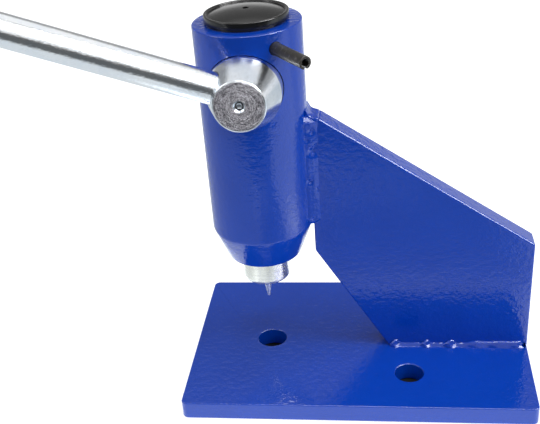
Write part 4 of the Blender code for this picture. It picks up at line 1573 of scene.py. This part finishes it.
@dataclass
class Studio:
    """The camera, the lamps, the surroundings and the floor."""

    eye: Place = (12.97 * MM, -337.45 * MM, 253.98 * MM)
    yaw: float = 0.1573
    pitch: float = 0.5241
    roll: float = -0.0847
    lens: float = 61.14
    shift: Point = (0.0156, 0.0624)
    sensor: float = 36.0
    nearest: float = 0.01
    lamps: tuple[Lamp, ...] = (
        Lamp("ceiling", (0.05, -0.10, 1.35), (0.8, 0.5), 7.2, (0, 0, 0.08)),
        Lamp("left_box", (-1.1, -0.4, 0.85), (0.7, 1.0), 3.2),
        Lamp("right_box", (1.0, -0.25, 1.0), (0.5, 0.5), 6.5),
        Lamp("front_box", (0.6, -0.95, 0.7), (0.7, 0.6), 3.6))
    glows: tuple[Glow, ...] = (
        Glow((0.05, -0.42, 0.90), 12 * DEG, 9.0), Glow((0.74, -0.17, 0.65), 18 * DEG, 18.0),
        Glow((0.52, -0.62, 0.59), 12 * DEG, 9.0), Glow((-0.78, -0.36, 0.50), 16 * DEG, 3.0))
    room: float = 0.5
    room_dim: float = 0.42
    dim_depth: Edge = (0.0, 0.3)
    dim_height: Edge = (0.35, 0.25)
    back_wall: float = 0.35
    back_wall_depth: Edge = (0.0, 0.1)
    back_wall_low: Edge = (0.2, 0.05)
    back_wall_high: Edge = (0.66, 0.05)
    dark_room: float = 0.13
    dark_height: Edge = (0.15, 0.04)
    slot_dim: float = 0.5
    slot_front: Edge = (-0.09, 0.03)
    slot_back: Edge = (0.04, 0.03)
    slot_height: Edge = (0.8, 0.06)
    floor_size: float = 6.0
    floor_drop: float = 0.05 * MM
    floor_color: Color = (0.82, 0.82, 0.83)
    # painted shade: the colour of the floor under the base plate
    floor_painted_shade: Color = (0.02, 0.02, 0.02)
    floor_glow: float = 0.55
    floor_far: float = 0.12
    under_inset: float = 1.5 * MM
    table: Edge = (-0.232, 0.03)
    table_corner: Edge = (-0.08, 0.03)
    table_corner_shift: float = 0.03
    table_bounce: float = 0.75
    card_bounce: float = 0.2
    card: Zone = Zone((-0.12, 0.03), (0.12, 0.03), (-0.125, 0.03), (-0.03, 0.02))
    mirror_color: Color = (0.9, 0.96, 1)
    mirror_level: float = 0.78
    mirror_zones: tuple[tuple[Zone, float], ...] = (
        (Zone((-0.1, 0.02), (0.125, 0.02), (-0.09, 0.035)), 0.3),
        (Zone((-0.1, 0.02), (0.125, 0.02), (-0.061, 0.003)), 0.8),
        (Zone((-0.06, 0.02), (0.03, 0.02), (-0.195, 0.02), (-0.168, 0.01)), 0.55),
        (Zone((-0.03, 0.015), (0.086, 0.01), (-0.215, 0.02), (-0.07, 0.01)), -0.38))
    wedge_gain: float = 0.6
    wedge_corner: Point = (-0.03, -0.019)
    wedge_slant: Point = (0.763, 0.646)
    wedge_edge: Edge = (-0.018, 0.01)
    wedge_left: Edge = (0.086, 0.008)
    shade: float = 0.45
    shade_zone: Zone = Zone(left=(-0.05, 0.08), front=(0.08, 0.06))

    def build(self) -> None:
        """Set up everything that isn't part of the press."""
        self.set_camera()
        self.set_world()
        self.set_floor()
        for lamp in self.lamps:
            lamp.build()
        bpy.context.scene.view_settings.view_transform = "Standard"

    def set_camera(self) -> None:
        """Set a camera in front of the press, looking down at it."""
        camera = bpy.data.cameras.new("camera")
        camera.lens = self.lens
        camera.sensor_width = self.sensor
        camera.clip_start = self.nearest
        camera.shift_x, camera.shift_y = self.shift
        level = math.cos(self.pitch)
        forward = Vector((-math.sin(self.yaw) * level, math.cos(self.yaw) * level,
                          -math.sin(self.pitch)))
        right = Vector((math.cos(self.yaw), math.sin(self.yaw), 0))
        up = right.cross(forward)
        side = right * math.cos(self.roll) + up * math.sin(self.roll)
        top = up * math.cos(self.roll) - right * math.sin(self.roll)
        seen = bpy.data.objects.new("camera", camera)
        bpy.context.collection.objects.link(seen)
        turn = Matrix((side, top, -forward)).transposed().to_4x4()
        seen.matrix_world = Matrix.Translation(self.eye) @ turn
        bpy.context.scene.camera = seen

    def set_world(self) -> None:
        """Surround the press with white, and with a dark room in front for reflections."""
        world = bpy.data.worlds.new("studio")
        bpy.context.scene.world = world
        world.use_nodes = True
        graph = Graph(world.node_tree)
        sky = graph.node("ShaderNodeTexCoord").outputs["Generated"]
        seen = graph.ray("Is Camera Ray")
        glossy = graph.math("MAXIMUM", graph.ray("Is Glossy Ray"),
                            graph.ray("Is Transmission Ray"))
        _, depth, height = graph.axes(sky)
        dim = (1 - depth.above(*self.dim_depth)) * (1 - height.above(*self.dim_height))
        plain = (self.room - self.room_dim * dim) * (1 - glossy)
        plain = plain + self.reflected(graph, sky) * glossy
        back = graph.node("ShaderNodeBackground", {}, {
            "Color": opaque((1, 1, 1)), "Strength": plain * (1 - seen) + seen})
        graph.close("ShaderNodeOutputWorld", back.outputs[0])

    def reflected(self, graph: Graph, sky: bpy.types.NodeSocket) -> Value:
        """How bright the room is in each direction, for reflections.

        Args:
            graph: The world's nodes.
            sky: The direction.

        Returns:
            The brightness.
        """
        _, depth, height = graph.axes(sky)
        behind = depth.above(*self.back_wall_depth)
        middle = height.above(*self.back_wall_low) * (1 - height.above(*self.back_wall_high))
        back_wall = 1 - (1 - self.back_wall) * middle
        front_wall = self.dark_room + (1.0 - self.dark_room) * height.above(*self.dark_height)
        slot = depth.above(*self.slot_front) - depth.above(*self.slot_back)
        ceiling = 1 - self.slot_dim * (slot * height.above(*self.slot_height))
        total = (behind * back_wall + (1 - behind) * front_wall) * ceiling
        for glow in self.glows:
            total = total + glow.light(graph, sky)
        return total

    def set_floor(self) -> None:
        """Lay a wide pale floor that keeps the press's shadow, with painted shade under the base
        plate.
        """
        bm = bmesh.new()
        bmesh.ops.create_grid(bm, x_segments=1, y_segments=1, size=self.floor_size / 2)
        floor = piece("floor", bm, at(0, 0, -self.floor_drop))
        floor.data.materials.append(self.floor_material())

    def painted_shade_under_base(self) -> Zone:
        """The patch of floor under the base plate that is painted dark as painted shade.

        Returns:
            The patch, just inside the plate's edges.
        """
        low, high, inset = *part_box("base_plate"), self.under_inset
        return Zone((low[0] + inset, inset), (high[0] - inset, inset),
                    (low[1] + inset, inset), (high[1] - inset, inset))

    def mirrored(self, side: Value, depth: Value) -> Value:
        """How bright the table is in reflections.

        Args:
            side: The place along X.
            depth: The place along Y.

        Returns:
            The brightness.
        """
        slant = ((side - self.wedge_corner[0]) * self.wedge_slant[0]
                 + (depth - self.wedge_corner[1]) * self.wedge_slant[1])
        wedge = slant.above(*self.wedge_edge) * side.above(*self.wedge_left)
        total = self.mirror_level + self.wedge_gain * wedge
        for zone, gain in self.mirror_zones:
            total = total + gain * zone.mask(side, depth)
        return total * (1 - self.shade * self.shade_zone.mask(side, depth))

    def floor_material(self) -> bpy.types.Material:
        """Make the floor's material: matt, and white to the viewer and in reflections, but dark and
        without glow under the base plate, as painted shade.

        Returns:
            The material.
        """
        made = bpy.data.materials.new("pale_floor")
        made.use_nodes = True
        graph = Graph(made.node_tree)
        side, depth, _ = graph.axes(graph.place())
        seen = graph.ray("Is Camera Ray")
        # painted shade: under the base plate the floor is dark and gives no glow
        outside_painted_shade = 1 - self.painted_shade_under_base().mask(side, depth)
        shift = self.table_corner_shift * (1 - side.above(*self.table_corner))
        table = (depth + shift).above(*self.table)
        lit = self.floor_far + (1 - self.floor_far) * table
        pale = graph.math("MAXIMUM", seen, lit) * outside_painted_shade
        matt = graph.node("ShaderNodeBsdfDiffuse", {}, {
            "Color": graph.blend(pale, self.floor_painted_shade, self.floor_color)})
        bounce = self.table_bounce * table + self.card_bounce * self.card.mask(side, depth)
        glow = graph.node("ShaderNodeEmission", {}, {
            "Color": opaque((1, 1, 1)),
            "Strength": outside_painted_shade * (self.floor_glow * seen + bounce * (1 - seen))})
        both = graph.node("ShaderNodeAddShader", {}, {0: matt.outputs[0], 1: glow.outputs[0]})
        mirror = self.dark_room + (self.mirrored(side, depth) - self.dark_room) * table
        bright = graph.node("ShaderNodeEmission", {}, {
            "Color": opaque(self.mirror_color), "Strength": mirror * outside_painted_shade})
        last = graph.node("ShaderNodeMixShader", {}, {
            0: graph.ray("Is Glossy Ray"), 1: both.outputs[0], 2: bright.outputs[0]})
        graph.close("ShaderNodeOutputMaterial", last.outputs[0])
        return made


def main() -> None:
    """Build the press in order, then the studio round it."""
    logging.basicConfig(level=logging.INFO, format="%(name)s: %(message)s")
    PaintedFrame().build()
    FrameFittings().build()
    CrossShaft().build()
    RamLine().build()
    Studio().build()


if __name__ == "__main__":
    main()
